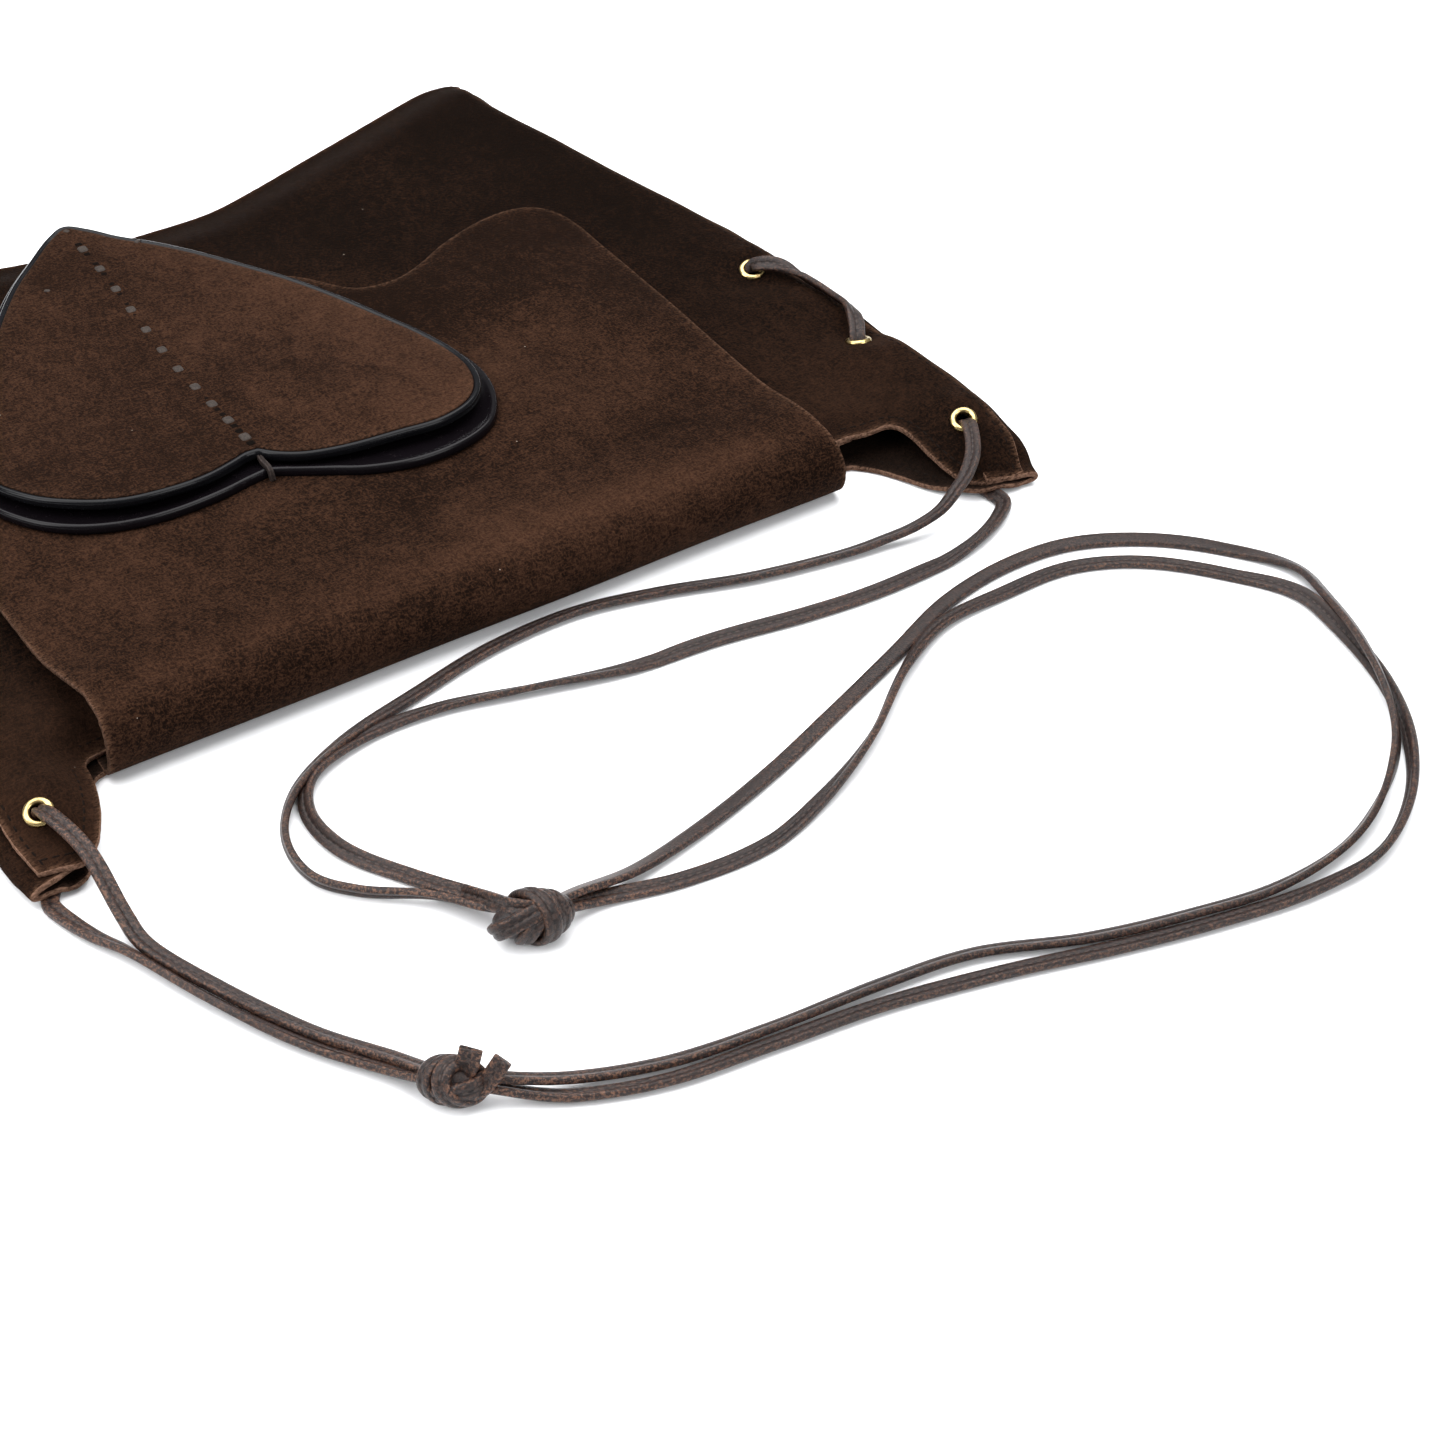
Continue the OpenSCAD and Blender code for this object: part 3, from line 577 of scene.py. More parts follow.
# How far each strand is rolled about its own line: (share of its length, degrees)
FRONT_ROLL = [(0, 0), (0.03, -24), (0.14, -20), (0.16, -9), (0.195, -10), (0.229, -53), (0.245, -88),
              (0.261, -108), (0.277, -118), (0.30, -140), (0.346, -160), (0.386, -180), (0.455, -180),
              (0.507, -188), (0.545, -176), (0.561, -144), (0.59, -132), (0.633, -105), (0.651, -68),
              (0.692, -33), (0.722, -31), (0.794, -32), (0.85, -27), (0.909, -23), (0.953, -10), (1, 0)]
BACK_ROLL = [(0, 0), (0.016, -18), (0.034, -29), (0.052, 9), (0.09, 13), (0.125, 9), (0.145, -26),
             (0.161, -39), (0.18, -25), (0.2, -6), (0.224, -42), (0.246, -46), (0.258, -15), (0.27, -4),
             (0.36, -4), (0.38, 20), (0.395, 46), (0.413, 68), (0.432, 63), (0.448, 23), (0.475, 2),
             (0.54, 0), (0.565, -32), (0.592, -52), (0.63, -74), (0.65, -68), (0.668, -31), (0.695, -20),
             (0.726, -14), (0.76, -16), (0.795, -20), (0.85, -27), (0.907, -35), (0.931, -47),
             (0.96, -52), (0.976, -20), (0.986, 0), (1, 0)]


def strand(name, route, rolls, pinch):
    """One strand of the strap: it rests on the table, rolls as it turns and is worn near the knots."""
    path = spline(route, step=1.6)
    count = len(path)
    along = np.linspace(0, length_of(path), count)
    rolls = np.array(rolls, float)
    roll = np.radians(np.interp(along / along[-1], rolls[:, 0], rolls[:, 1]))
    kernel = np.hanning(15)[1:-1] / np.hanning(15).sum()
    roll = np.convolve(np.pad(roll, 6, mode="edge"), kernel, "valid")
    roll = roll + 0.06 * waves(along, 0 * along, 50, count)
    half_height = LACE_W / 2 * np.abs(np.sin(roll)) + LACE_T / 2 * np.abs(np.cos(roll))
    path[:, 2] = np.maximum(path[:, 2] - ROUTE_REST_Z, -0.1) + half_height + 0.15
    knots = near(path, KNOTS["right"][0], 45) + near(path, KNOTS["left"][0], 40)
    ends = smoothstep(70, 0, along) * 0.3 + smoothstep(along[-1] - 90, along[-1], along)
    wear = np.clip(0.12 + 0.75 * knots + 0.8 * ends + 0.15 * waves(along, 0 * along, 60, 5), 0, 1)
    width = 1 - 0.22 * pinch * (smoothstep(9, 2, along) + smoothstep(along[-1] - 9, along[-1] - 2, along))
    return sweep_lace(name, path, roll, width, wear=wear), path


def knot_axes(heading):
    w = math.radians(heading)
    return np.array([[math.cos(w), math.sin(w), 0], [-math.sin(w), math.cos(w), 0], [0, 0, 1.0]])


# Each knot: its middle, the heading of its long axis, its half length and half width, and its wraps.
# A wrap is a flat cut through the knot's oval: the cut's normal and distance from the middle (shares
# of the oval along its axes), how proud it lies and how worn it is.
KNOTS = {
    "right": ((-72.5, -275.8, 8.2), -16, (12.4, 7.2), {
        "wrap": ((0.95, 0.30, -0.09), 0.09, 1.08, 0.22), "collar": ((0.96, 0.25, -0.15), 0.50, 0.99, 0.3),
        "end": ((0.96, 0.25, -0.15), 0.77, 0.96, 0.35), "band_left": ((-0.49, 0.58, 0.65), 0.14, 0.97, 0.2),
        "band_low": ((0.90, -0.30, -0.31), 0.16, 0.93, 0.3)}),
    "left": ((-121.0, -317.6, 7.0), -45, (9.0, 5.9), {
        "wrap": ((-0.88, 0.38, -0.28), 0.35, 1.05, 0.25), "outer": ((-0.88, 0.38, -0.28), 0.68, 0.96, 0.3),
        "loop": ((0.84, -0.33, 0.44), 0.38, 1.07, 0.4),
        "band_low": ((0.45, -0.35, -0.82), 0.30, 0.97, 0.25)}),
}
# The two cut ends that stand up out of the left knot, and the ways their broad faces look
TAIL_SHORT = [(-119.9, -318.6, 6.5), (-118.5, -319.6, 10.5), (-117.0, -320.0, 14.5), (-115.6, -319.6, 18.2)]
TAIL_LONG = [(-121.8, -320.1, 5.5), (-119.9, -322.4, 5.5), (-117.4, -323.5, 6.0), (-114.7, -324.4, 8.0),
             (-112.0, -324.7, 11.0), (-109.0, -325.0, 15.0)]
# The lace that comes in over the right knot and goes under its wrap
LEAD_IN = [(-82.5, -253, 4.6), (-80.8, -260.1, 7.5), (-79.3, -267.6, 10.8), (-78, -273.6, 13.4),
           (-75.2, -277.2, 14.2), (-71.5, -279.3, 13.0)]
TOWARDS_VIEW = (-0.41, -0.63, 0.66)
WRAP_CURL = 0.45


def knot_pieces(side):
    """An overhand knot: its packed middle and the laces wrapped round it."""
    centre, heading, (half_long, half_wide), wraps = KNOTS[side]
    axes, halves = knot_axes(heading), np.array([half_long, half_wide, half_wide])
    pieces = []
    for name, (normal, offset, proud, wear) in wraps.items():
        n = unit(normal)
        a = unit(np.cross(n, [0.3, 1, 0.1]))
        w = np.linspace(0, 2 * math.pi, KNOT_POINTS, endpoint=False)[:, None]
        spot = n * offset + math.sqrt(1 - offset**2) * (np.cos(w) * a + np.sin(w) * np.cross(n, a))
        path = np.array(centre) + proud * (spot * halves) @ axes
        out = unit((spot / halves) @ axes)
        pieces.append(sweep_lace(f"knot_{side}_{name}", path, facing=out, closed=True,
                                 wear=np.full(KNOT_POINTS, wear), curl=np.full(KNOT_POINTS, WRAP_CURL)))
    lat = np.linspace(-math.pi / 2, math.pi / 2, 17)[:, None, None]
    lon = np.linspace(0, 2 * math.pi, 32, endpoint=False)[None, :, None]
    ball = np.concatenate([np.cos(lat) * np.cos(lon), np.cos(lat) * np.sin(lon),
                           np.sin(lat) + 0 * lon], axis=2)
    verts = np.array(centre) + (ball.reshape(-1, 3) * (halves - 1.0)) @ axes
    plain = {"across": np.full(len(verts), 2.0), "along": np.zeros(len(verts)),
             "worn": np.full(len(verts), 0.1)}
    pieces.append(add_mesh(f"knot_{side}_middle", verts, grid_faces(17, 32, close_cols=True), [MAT["lace"]],
                           None, plain))
    return pieces


def tail(name, points, facing_start, wear, width=1.0):
    """A cut end of lace. Its broad face turns from facing_start towards the viewpoint."""
    path = spline(points, step=0.5)
    share = smoothstep(0.1, 0.75, np.linspace(0, 1, len(path)))[:, None]
    facing = unit((1 - share) * np.array(facing_start) + share * np.array(TOWARDS_VIEW))
    return sweep_lace(name, path, width=np.full(len(path), width), facing=facing,
                      wear=np.linspace(wear, 0.8, len(path)))


def make_strap():
    front, front_path = strand("strap_strand_front", END_RIGHT + FRONT_ROUTE + END_LEFT[::-1],
                               FRONT_ROLL, 1.0)
    back, back_path = strand("strap_strand_back", BACK_START + BACK_ROUTE + BACK_END, BACK_ROLL, 0.0)
    knots = knot_pieces("right") + knot_pieces("left") + [
        tail("knot_right_lead", LEAD_IN, (-0.5, -0.4, 0.77), 0.45),
        tail("knot_left_tail_short", TAIL_SHORT, (-0.6, -0.5, 0.6), 0.3, 1.2),
        tail("knot_left_tail_long", TAIL_LONG, (0.1, 0.2, 0.95), 0.35)]
    for vertex in (v for piece in knots for v in piece.data.vertices):
        vertex.co.z = max(vertex.co.z, FLOOR_GAP * MM)
    for piece in knots:
        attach(piece, "root")
    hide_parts("knot_right")
    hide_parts("knot_left")
    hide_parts("lace_tails")
    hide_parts("strap_lace_front", "lace_end_right", "lace_end_left")
    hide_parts("strap_lace_back", "lace_back_end_right", "lace_back_end_left")
    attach(back, "root")
    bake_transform(front)


make_strap()

# ---------------------------------------------------------------- the bag's outline

# Side fold in plan, as (distance along the bag, half width), from the ear to the bottom corner
SIDE_LINE = spline([(-192, 188), (-184, 190), (-172, 191.5), (-152, 192), (-128, 193.5), (-102, 192.5),
                    (-67, 191), (-32, 187.5), (5, 184.5), (38, 178.5), (70, 171), (107, 163.5), (142, 156),
                    (170, 153)], step=1)
CORNER_R = 12.0
BOTTOM_LINE = spline([(-150, 171), (-137, 171.5), (-110, 160), (-78, 148), (-40, 140), (-5, 138.5),
                      (18, 139.5), (41, 146.5), (69, 157), (96, 167), (122, 177), (137, 183), (150, 186)],
                     step=1)
# The mouth's raw edges from the middle to each ear's tip: x, y and the height of the leather's top
RIM_FRONT = {
    1: [(138, -133, 12.6), (146, -135.3, 13), (150, -135.9, 14), (153, -136.8, 14.6),
        (155.5, -139.2, 14.3), (157.3, -145, 13), (158, -154, 11), (159.6, -163.5, 8.6),
        (161.8, -169.5, 7.2), (166.2, -173.7, 6.6), (173, -175.8, 6.6), (179, -176.4, 6.6),
        (183, -176.3, 6.4)],
    -1: [(138, -136.5, 5.5), (142.6, -137, 5), (148.3, -138.1, 5), (152, -139.3, 5.6), (154.2, -143, 6.8),
         (154.9, -149.4, 8.6), (156.4, -158, 10), (159.1, -167.2, 10.5), (162.1, -174.1, 10.5),
         (165.4, -180.4, 10.8), (169.2, -184.7, 11), (173.5, -187, 10.8), (177, -185.8, 10.8),
         (181, -184.5, 10.4), (186, -183.1, 9.4)],
}
RIM_BACK = {
    1: [(137.5, -136), (143.8, -142.9), (148.7, -151.8), (153, -161.5), (157, -167.6), (161.3, -173.1),
        (166.3, -175.8), (173.1, -176.8), (178, -177.9), (183, -177.6)],
    -1: [(138, -139.5), (145.4, -142.6), (149, -143.8), (153, -146), (155.5, -152), (158, -160),
         (161, -168), (164.5, -174.5), (168.5, -181), (172, -185), (176.7, -186.8), (181.4, -186.8),
         (186.2, -186.5)],
}


def side_x(y, s):
    """Half width of the bag at y; the right ear (s = 1) is drawn in at its tip."""
    return (np.interp(y, SIDE_LINE[:, 0], SIDE_LINE[:, 1])
            - 3.5 * (np.asarray(s) > 0) * smoothstep(-160, -178, y))


def bottom_y(x):
    return np.interp(x, BOTTOM_LINE[:, 0], BOTTOM_LINE[:, 1])


def front_eyelet(s, i):
    y = FIRST_EYELET_Y[s] + i * EYELET_PITCH
    return np.array([s * (side_x(y, s) - FRONT_EYELET_INSET), y])


def rim_line(rims):
    left, right = (spline(np.array(rims[s])[:, :2] * [s, 1], 1.5) for s in (-1, 1))
    return np.vstack([left[::-1], right])


def plan_edges(rims, inset):
    """The four edge lines of a panel: mouth rim, bottom, left side and right side."""
    rim = rim_line(rims)
    sides = {}
    for s in (1, -1):
        top_y = rim[-1 if s > 0 else 0, 1]
        x_end = s * (side_x(150, s) - inset)
        corner_y = bottom_y(s * (side_x(150, s) - CORNER_R)) - CORNER_R
        ys = np.arange(top_y, corner_y, 2.0)
        side = np.stack([s * (side_x(ys, s) - inset), ys], axis=1)
        turn = np.radians(np.linspace(0, 45, 8))
        radius = CORNER_R - inset * 0.4
        arc = np.stack([x_end - s * radius * (1 - np.cos(turn)), corner_y + radius * np.sin(turn)], axis=1)
        sides[s] = np.vstack([side, arc])
    start, end = sides[-1][-1], sides[1][-1]
    xs = np.linspace(start[0], end[0], 90)
    rest = bottom_y(xs)
    pull = lambda x, at, y: (y - bottom_y(at)) * np.exp(-np.abs(x - at) / 9.0)
    rest = rest + pull(xs, start[0], start[1]) + pull(xs, end[0], end[1])
    rim[0], rim[-1] = sides[-1][0], sides[1][0]
    return rim, np.stack([xs, rest], axis=1), sides[-1], sides[1]


# ---------------------------------------------------------------- how the panels lie

HEADING = np.array([0.5427, 0.8399])
EYELET_TILT = (0.50, -0.30, 0.38)
EYELET_DROP = (0.0, 2.5, 0.8)


def rim_pull(x, y):
    """The raw edge's height near each point of an ear, and how much that height counts there."""
    height, share = np.zeros_like(x), np.zeros_like(x)
    for s in (1, -1):
        line = spline(np.array(RIM_FRONT[s]) * [s, 1, 1], 1.5)
        close = (x * s > 120) & (y < -95)
        if not close.any():
            continue
        gap = np.hypot(x[close][:, None] - line[None, :, 0], y[close][:, None] - line[None, :, 1])
        weight = np.exp(-(gap - gap.min(1, keepdims=True)) / 2.5)
        height[close] = (weight * line[None, :, 2]).sum(1) / weight.sum(1)
        share[close] = np.exp(-(gap.min(1) / 9.0) ** 2) * smoothstep(120, 138, x[close] * s)
    return height, share


def front_height(x, y):
    """Height of the middle of the front panel."""
    x, y = np.broadcast_arrays(np.asarray(x, float), np.asarray(y, float))
    right = x > 0
    inset = side_x(y, right) - np.abs(x)
    z = FRONT_Z + 0.45 * waves(x, y, 75, 11) + 0.18 * waves(x, y, 26, 12)
    rise = np.where(right, 0.3 + 3.0 * smoothstep(-60, -96, y), 0.4)
    z = z + rise * smoothstep(44, 14, inset) * smoothstep(165, 120, y)
    z = z - 1.6 * smoothstep(9, 1, inset)
    z = z + 2.0 * bell(x, 155, 13) * bell(y, -127, 13)
    z = z + 2.2 * bell(x, -163, 11) * bell(y, -138, 22) - 3.0 * bell(x, -146, 6) * smoothstep(-100, -135, y)
    z = z + 1.2 * bell(x, 0, 90) * smoothstep(-80, -134, y)
    for s in (1, -1):
        first = FIRST_EYELET_Y[s]
        pull = bell(inset, FRONT_EYELET_INSET, 13) * (np.sign(x) == s)
        for i in (0, 1):
            z = z + pull * 0.9 * bell(y, first + (i + 0.5) * EYELET_PITCH, 17)
        for i, tilt in enumerate(EYELET_TILT):
            spot = front_eyelet(s, i)
            dx, dy = x - spot[0], y - spot[1]
            near_spot = np.exp(-(dx**2 + dy**2) / 13**2)
            z = z + near_spot * (tilt * (dx * HEADING[0] + dy * HEADING[1]) - EYELET_DROP[i])
    height, share = rim_pull(x, y)
    z = z * (1 - share) + (height - PANEL_T / 2) * share
    return z + (5.2 - z) * (1 - smoothstep(0, 30, bottom_y(x) - y)) ** 1.4


def front_normal(x, y):
    h = 1.0
    dx = (front_height(x + h, y) - front_height(x - h, y)) / (2 * h)
    dy = (front_height(x, y + h) - front_height(x, y - h)) / (2 * h)
    return unit(np.array([-dx, -dy, 1.0]))


# Where the back lace lies under the left ear
LEFT_EAR_LACE = [(-176.5, -175.5), (-183, -184), (-185.2, -189)]


def back_height(x, y):
    """Height of the middle of the back panel, which rises over the lace that runs under it."""
    z = BACK_Z + 0.15 * (1 + waves(x, y, 60, 21))
    inset = side_x(y, np.asarray(x) > 0) - np.abs(x)
    lace = bell(inset, BACK_EYELET_INSET - 4, 14) * smoothstep(40, 12, y)
    z = z + 3.6 * np.minimum(lace * 1.3, 1) * (0.35 + 0.65 * smoothstep(-187, -168, y))
    run = spline(LEFT_EAR_LACE, 1.0)
    gap = np.full(np.shape(z), 99.0)
    close = (np.asarray(x) < -155) & (np.asarray(y) < -150)
    if np.any(close):
        spots = np.stack([np.asarray(x)[close], np.asarray(y)[close]], axis=1)
        gap[close] = np.linalg.norm(spots[:, None] - run[None], axis=2).min(1)
    z = np.maximum(z, 3.55 * smoothstep(9.5, 3.5, gap))
    return z + 0.9 * (1 - smoothstep(0, 14, bottom_y(x) - y)) ** 1.5


def make_front_panel():
    edges = plan_edges(RIM_FRONT, LAP_INSET)
    plan = patch(*edges, 210, 236)
    x, y = plan[..., 0], plan[..., 1]
    grid = np.dstack([x, y, front_height(x, y)])
    # Painted light and shade over random tone: lighter near the side edges, at the left ear and beside the
    # right ear, darker towards the far end, on the far right and at the right ear's tip.
    tone_and_painted_light = 0.10 * waves(x, y, 55, 31) + 0.12 * bell(side_x(y, x > 0) - np.abs(x), 9, 7)
    tone_and_painted_light = tone_and_painted_light - 0.34 * smoothstep(-20, 150, y) - 0.30 * smoothstep(80, 160, x) * smoothstep(-90, 0, y)
    tone_and_painted_light = tone_and_painted_light - 0.10 * smoothstep(140, 160, x) * smoothstep(-110, -150, y)
    tone_and_painted_light = tone_and_painted_light + 0.30 * smoothstep(-100, -150, x) * smoothstep(-90, -150, y)
    tone_and_painted_light = tone_and_painted_light + 0.20 * bell(x, 150, 22) * bell(y, -112, 22) + 0.30 * bell(x, -172, 10) * bell(y, -178, 5)
    holes = [(*front_eyelet(s, i), 2.9) for s in (1, -1) for i in range(3)]
    obj = leather_sheet("front_panel_suede", grid, PANEL_T, [MAT["suede"], MAT["raw"], MAT["flesh"]],
                        holes, tone_and_painted_light)
    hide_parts("front_panel")
    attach(obj, "front")
    return obj


def make_back_panel():
    """One sheet: it wraps both side folds and ends under the front panel's raw edges."""
    rim, bottom, left, right = plan_edges(RIM_BACK, LAP_INSET)
    rows = 210
    plan = patch(rim, bottom, left, right, rows, 190)
    flat = np.dstack([plan, back_height(plan[..., 0], plan[..., 1])])
    folds = {}
    for s, line in ((1, flat[:, -1]), (-1, flat[:, 0])):
        ahead = unit(np.gradient(line[:, :2], axis=0))
        out = np.stack([ahead[:, 1], -ahead[:, 0]], axis=1) * s
        sx, sy = line[:, 0], line[:, 1]
        top = front_height(sx, np.clip(sy, -400, 400)) - PANEL_T - 0.1
        low = line[:, 2]
        half = np.maximum(top - low, 3.2) / 2
        reach = LAP_INSET + 0.4 * waves(sy, 0 * sy, 30, 41)
        columns = []
        for w in np.radians(np.arange(15, 181, 15)):
            bulge = reach * math.sin(w)
            z = low + half * (1 - math.cos(w))
            columns.append(np.column_stack([line[:, :2] + out * bulge[:, None], z]))
        lap = 5.6 + 8.5 * smoothstep(FIRST_EYELET_Y[s] - 12, FIRST_EYELET_Y[s] - 22, sy)
        for share in np.linspace(0.2, 1, 6):
            spot = line[:, :2] - out * (lap * share)[:, None]
            under = front_height(spot[:, 0], spot[:, 1]) - PANEL_T - 0.1
            z = np.where(share > 0.3, under, low + 2 * half)
            z = np.maximum(z, back_height(spot[:, 0], spot[:, 1]) + PANEL_T + 0.4)
            columns.append(np.column_stack([spot, z]))
        folds[s] = np.stack(columns, axis=1)
    grid = np.concatenate([folds[-1][:, ::-1], flat, folds[1]], axis=1)
    # Painted light and shade over random tone: lighter where the sheet rises over the side folds, darker
    # along the right side away from the mouth.
    tone_and_painted_light = 0.1 * waves(grid[..., 0], grid[..., 1], 50, 32) + 0.10 * smoothstep(3, 8, grid[..., 2])
    tone_and_painted_light = tone_and_painted_light - 0.30 * smoothstep(120, 160, grid[..., 0]) * smoothstep(-130, -60, grid[..., 1])
    obj = leather_sheet("back_panel_suede", grid[:, ::-1], PANEL_T, [MAT["suede"], MAT["raw"], MAT["flesh"]],
                        tone_and_painted_light=tone_and_painted_light[:, ::-1])
    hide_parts("back_panel", "side_wrap_right", "side_wrap_left")
    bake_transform(obj)
    return obj


# ---------------------------------------------------------------- flap

FOLD_SECTION = [(-123, 3.3), (-128, 3.3), (-133.5, 3.2), (-138.5, 2.2), (-143.5, 2.1), (-147.6, 4.8),
                (-149.8, 10.0), (-149.5, 15.8), (-146.3, 20.8), (-141, 23.6), (-134.5, 24.2)]
FLAP_RIGHT = [(124, MOUTH_Y), (123.5, -100), (124.3, -70), (125.5, -45), (126.6, -22), (127.3, 0),
              (127.7, 18), (128.3, 34)]
FLAP_LEFT = [(-147.3, MOUTH_Y), (-149.2, -124), (-151, -108), (-152, -67), (-155, -28),
             (-157, 10), (-157.5, 36)]
FLAP_HEM = [(-157.5, 36), (-154, 52), (-143, 61), (-130, 60), (-112, 54), (-100, 62), (-78, 79), (-43, 86),
            (-8, 80), (18, 63), (34, 41), (50, 38.5), (63, 44), (76, 52), (97, 60), (111, 61),
            (121, 56.8), (126.5, 47.5), (128.3, 34)]


def flap_place(x, y, h=0.0):
    """A point h above the closed flap's top face; x and y are measured along the sheet."""
    x, y, h = np.broadcast_arrays(*(np.asarray(v, float) for v in (x, y, h)))
    c, s = math.cos(FLAP_FALL), math.sin(FLAP_FALL)
    return np.stack([x, MOUTH_Y + (y - MOUTH_Y) * c + h * s, ROLL_TOP - (y - MOUTH_Y) * s + h * c], -1)


def make_flap():
    plan = patch(np.array([FLAP_LEFT[0], FLAP_RIGHT[0]], float), spline(FLAP_HEM, 1.5),
                 spline(FLAP_LEFT, 1.5), spline(FLAP_RIGHT, 1.5), 190, 200)
    x, y = plan[..., 0], plan[..., 1]
    far = smoothstep(MOUTH_Y + 8, MOUTH_Y + 60, y)
    lift = -FLAP_T / 2 + far * (0.5 * waves(x, y, 80, 51) + 0.2 * waves(x, y, 30, 52))
    edge = np.minimum(np.minimum(x - np.interp(y, *np.array(FLAP_LEFT)[:, ::-1].T),
                                 np.interp(y, *np.array(FLAP_RIGHT)[:, ::-1].T) - x), 40)
    lift = lift - far * 0.9 * np.exp(-np.maximum(edge, 0) / 9)
    lift = lift + 0.9 * bell(y, MOUTH_Y + 10, 12) - 0.7 * bell(y, MOUTH_Y + 34, 16) * (1 - far * 0.3)
    lift = lift + 1.6 * bell(x, -140, 9) * bell(y, MOUTH_Y + 4, 10)
    top = flap_place(x, y, lift)
    section = spline(FOLD_SECTION, count=46)
    columns = x[0]
    tuck = np.linspace(1, 0, len(section))[:-1]
    fold = []
    for k, (fy, fz) in enumerate(section[:-1]):
        share = k / (len(section) - 1)
        swell = 0.8 * waves(columns, 0 * columns + 90 * share, 70, 53) * math.sin(math.pi * share) ** 2
        narrow = 1 + 0.010 * math.sin(math.pi * min(1, share * 1.2))
        fold.append(np.column_stack([
            columns * narrow, fy + (-0.6 * swell if fy < MOUTH_Y - 6 else 0) + 0 * columns,
            fz + smoothstep(0.5, 1, share) * (top[0, :, 2] - top[0, 100, 2]) + 0 * columns]))
    grid = np.concatenate([np.array(fold), top], axis=0)
    # Painted light and shade over random tone: darker towards the hem, a painted highlight along the fold's
    # ridge, lighter again near the hem's lobes, darker on the right and lighter on the left.
    tone_and_painted_light = 0.14 * waves(grid[..., 0], grid[..., 1], 60, 54) - 0.40 * smoothstep(-60, 60, grid[..., 1])
    ridge_highlight = bell(grid[..., 2], 24.2, 1.6) * bell(grid[..., 1], MOUTH_Y - 1, 9)
    tone_and_painted_light = tone_and_painted_light + 0.30 * ridge_highlight + 0.16 * smoothstep(40, 66, grid[..., 1])
    tone_and_painted_light = tone_and_painted_light - 0.14 * smoothstep(50, 120, grid[..., 0]) + 0.08 * smoothstep(-70, -140, grid[..., 0])
    obj = leather_sheet("flap_suede", grid, FLAP_T, [MAT["flap"], MAT["raw_dark"], MAT["flesh"]], tone_and_painted_light=tone_and_painted_light)
    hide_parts("flap", "flap_neck")
    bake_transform(obj)
    return obj


# ---------------------------------------------------------------- hearts

HEART_CENTRE = np.array([-4.0, 12.0])
# Each heart's edge about (HEART_X, 0), from its tip down its right side to its cleft and back up its left.
TOP_HEART = [(0.5, 137.5), (6.9, 130.9), (14.3, 118.9), (24.1, 106.2), (33.3, 92.3), (43.9, 73.1),
             (55.4, 50.5), (64.2, 28.4), (71.5, 5), (76.4, -13), (79.7, -32), (79.6, -46),
             (75.7, -57.8), (67.8, -66.1), (54.7, -70.3), (39.5, -69), (22, -65.8), (6.2, -59.8),
             (-1, -54.5), (-5.2, -49.5), (-9.5, -49.3), (-15, -51.2), (-26, -54.6), (-38.5, -55.9),
             (-52.5, -54.3), (-63, -49.7), (-72.2, -42.8), (-79, -35.8), (-84.2, -27.6), (-87.5, -20),
             (-89.5, -8), (-88.5, 8), (-81.8, 27.3), (-69.1, 48.5), (-55.1, 70.5), (-40.5, 93.8),
             (-31.9, 105.8), (-21.9, 117.2), (-7.1, 133)]
BASE_HEART = [(-0.5, 140.5), (9.1, 131), (25.5, 109.3), (45, 79.8), (57.5, 56.8), (67.9, 33.4),
              (75.6, 9), (80.5, -10), (84.6, -28), (85.5, -41), (83.7, -52.7), (78.2, -65.3),
              (70.1, -74.4), (57, -79.5), (39.6, -80), (23, -74.6), (13, -68.2), (4, -62.4),
              (-1.5, -58.8), (-5.7, -56.7), (-14, -58.1), (-22.1, -59.8), (-37.3, -61.1), (-51.6, -60),
              (-63.4, -56.4), (-73.2, -50.8), (-81.8, -42.6), (-87.2, -34.4), (-91.2, -25),
              (-93.3, -11), (-92.3, 6), (-85.9, 26.1), (-73.5, 47.8), (-59.5, 70.8), (-45.5, 92.8),
              (-36.5, 105.8), (-25.5, 118.8), (-9.7, 134.8)]


def heart_outline(points):
    """A heart's edge as an even closed line, going round from its cleft."""
    middle = int(np.argmin([abs(x + 5.5) + 4 * (y > 0) * abs(y) for x, y in points]))
    ring = points[middle:] + points[:middle + 1]
    return resample(spline(ring, step=0.5), 361)[:-1]


def heart_lift(x, y):
    """The top heart stands clear of the base at its lobes and is tied down at its cleft."""
    lobes = 1.6 * smoothstep(30, -55, y) * smoothstep(8, 46, np.abs(x + 4))
    return lobes + 0.4 * smoothstep(30, -55, y)


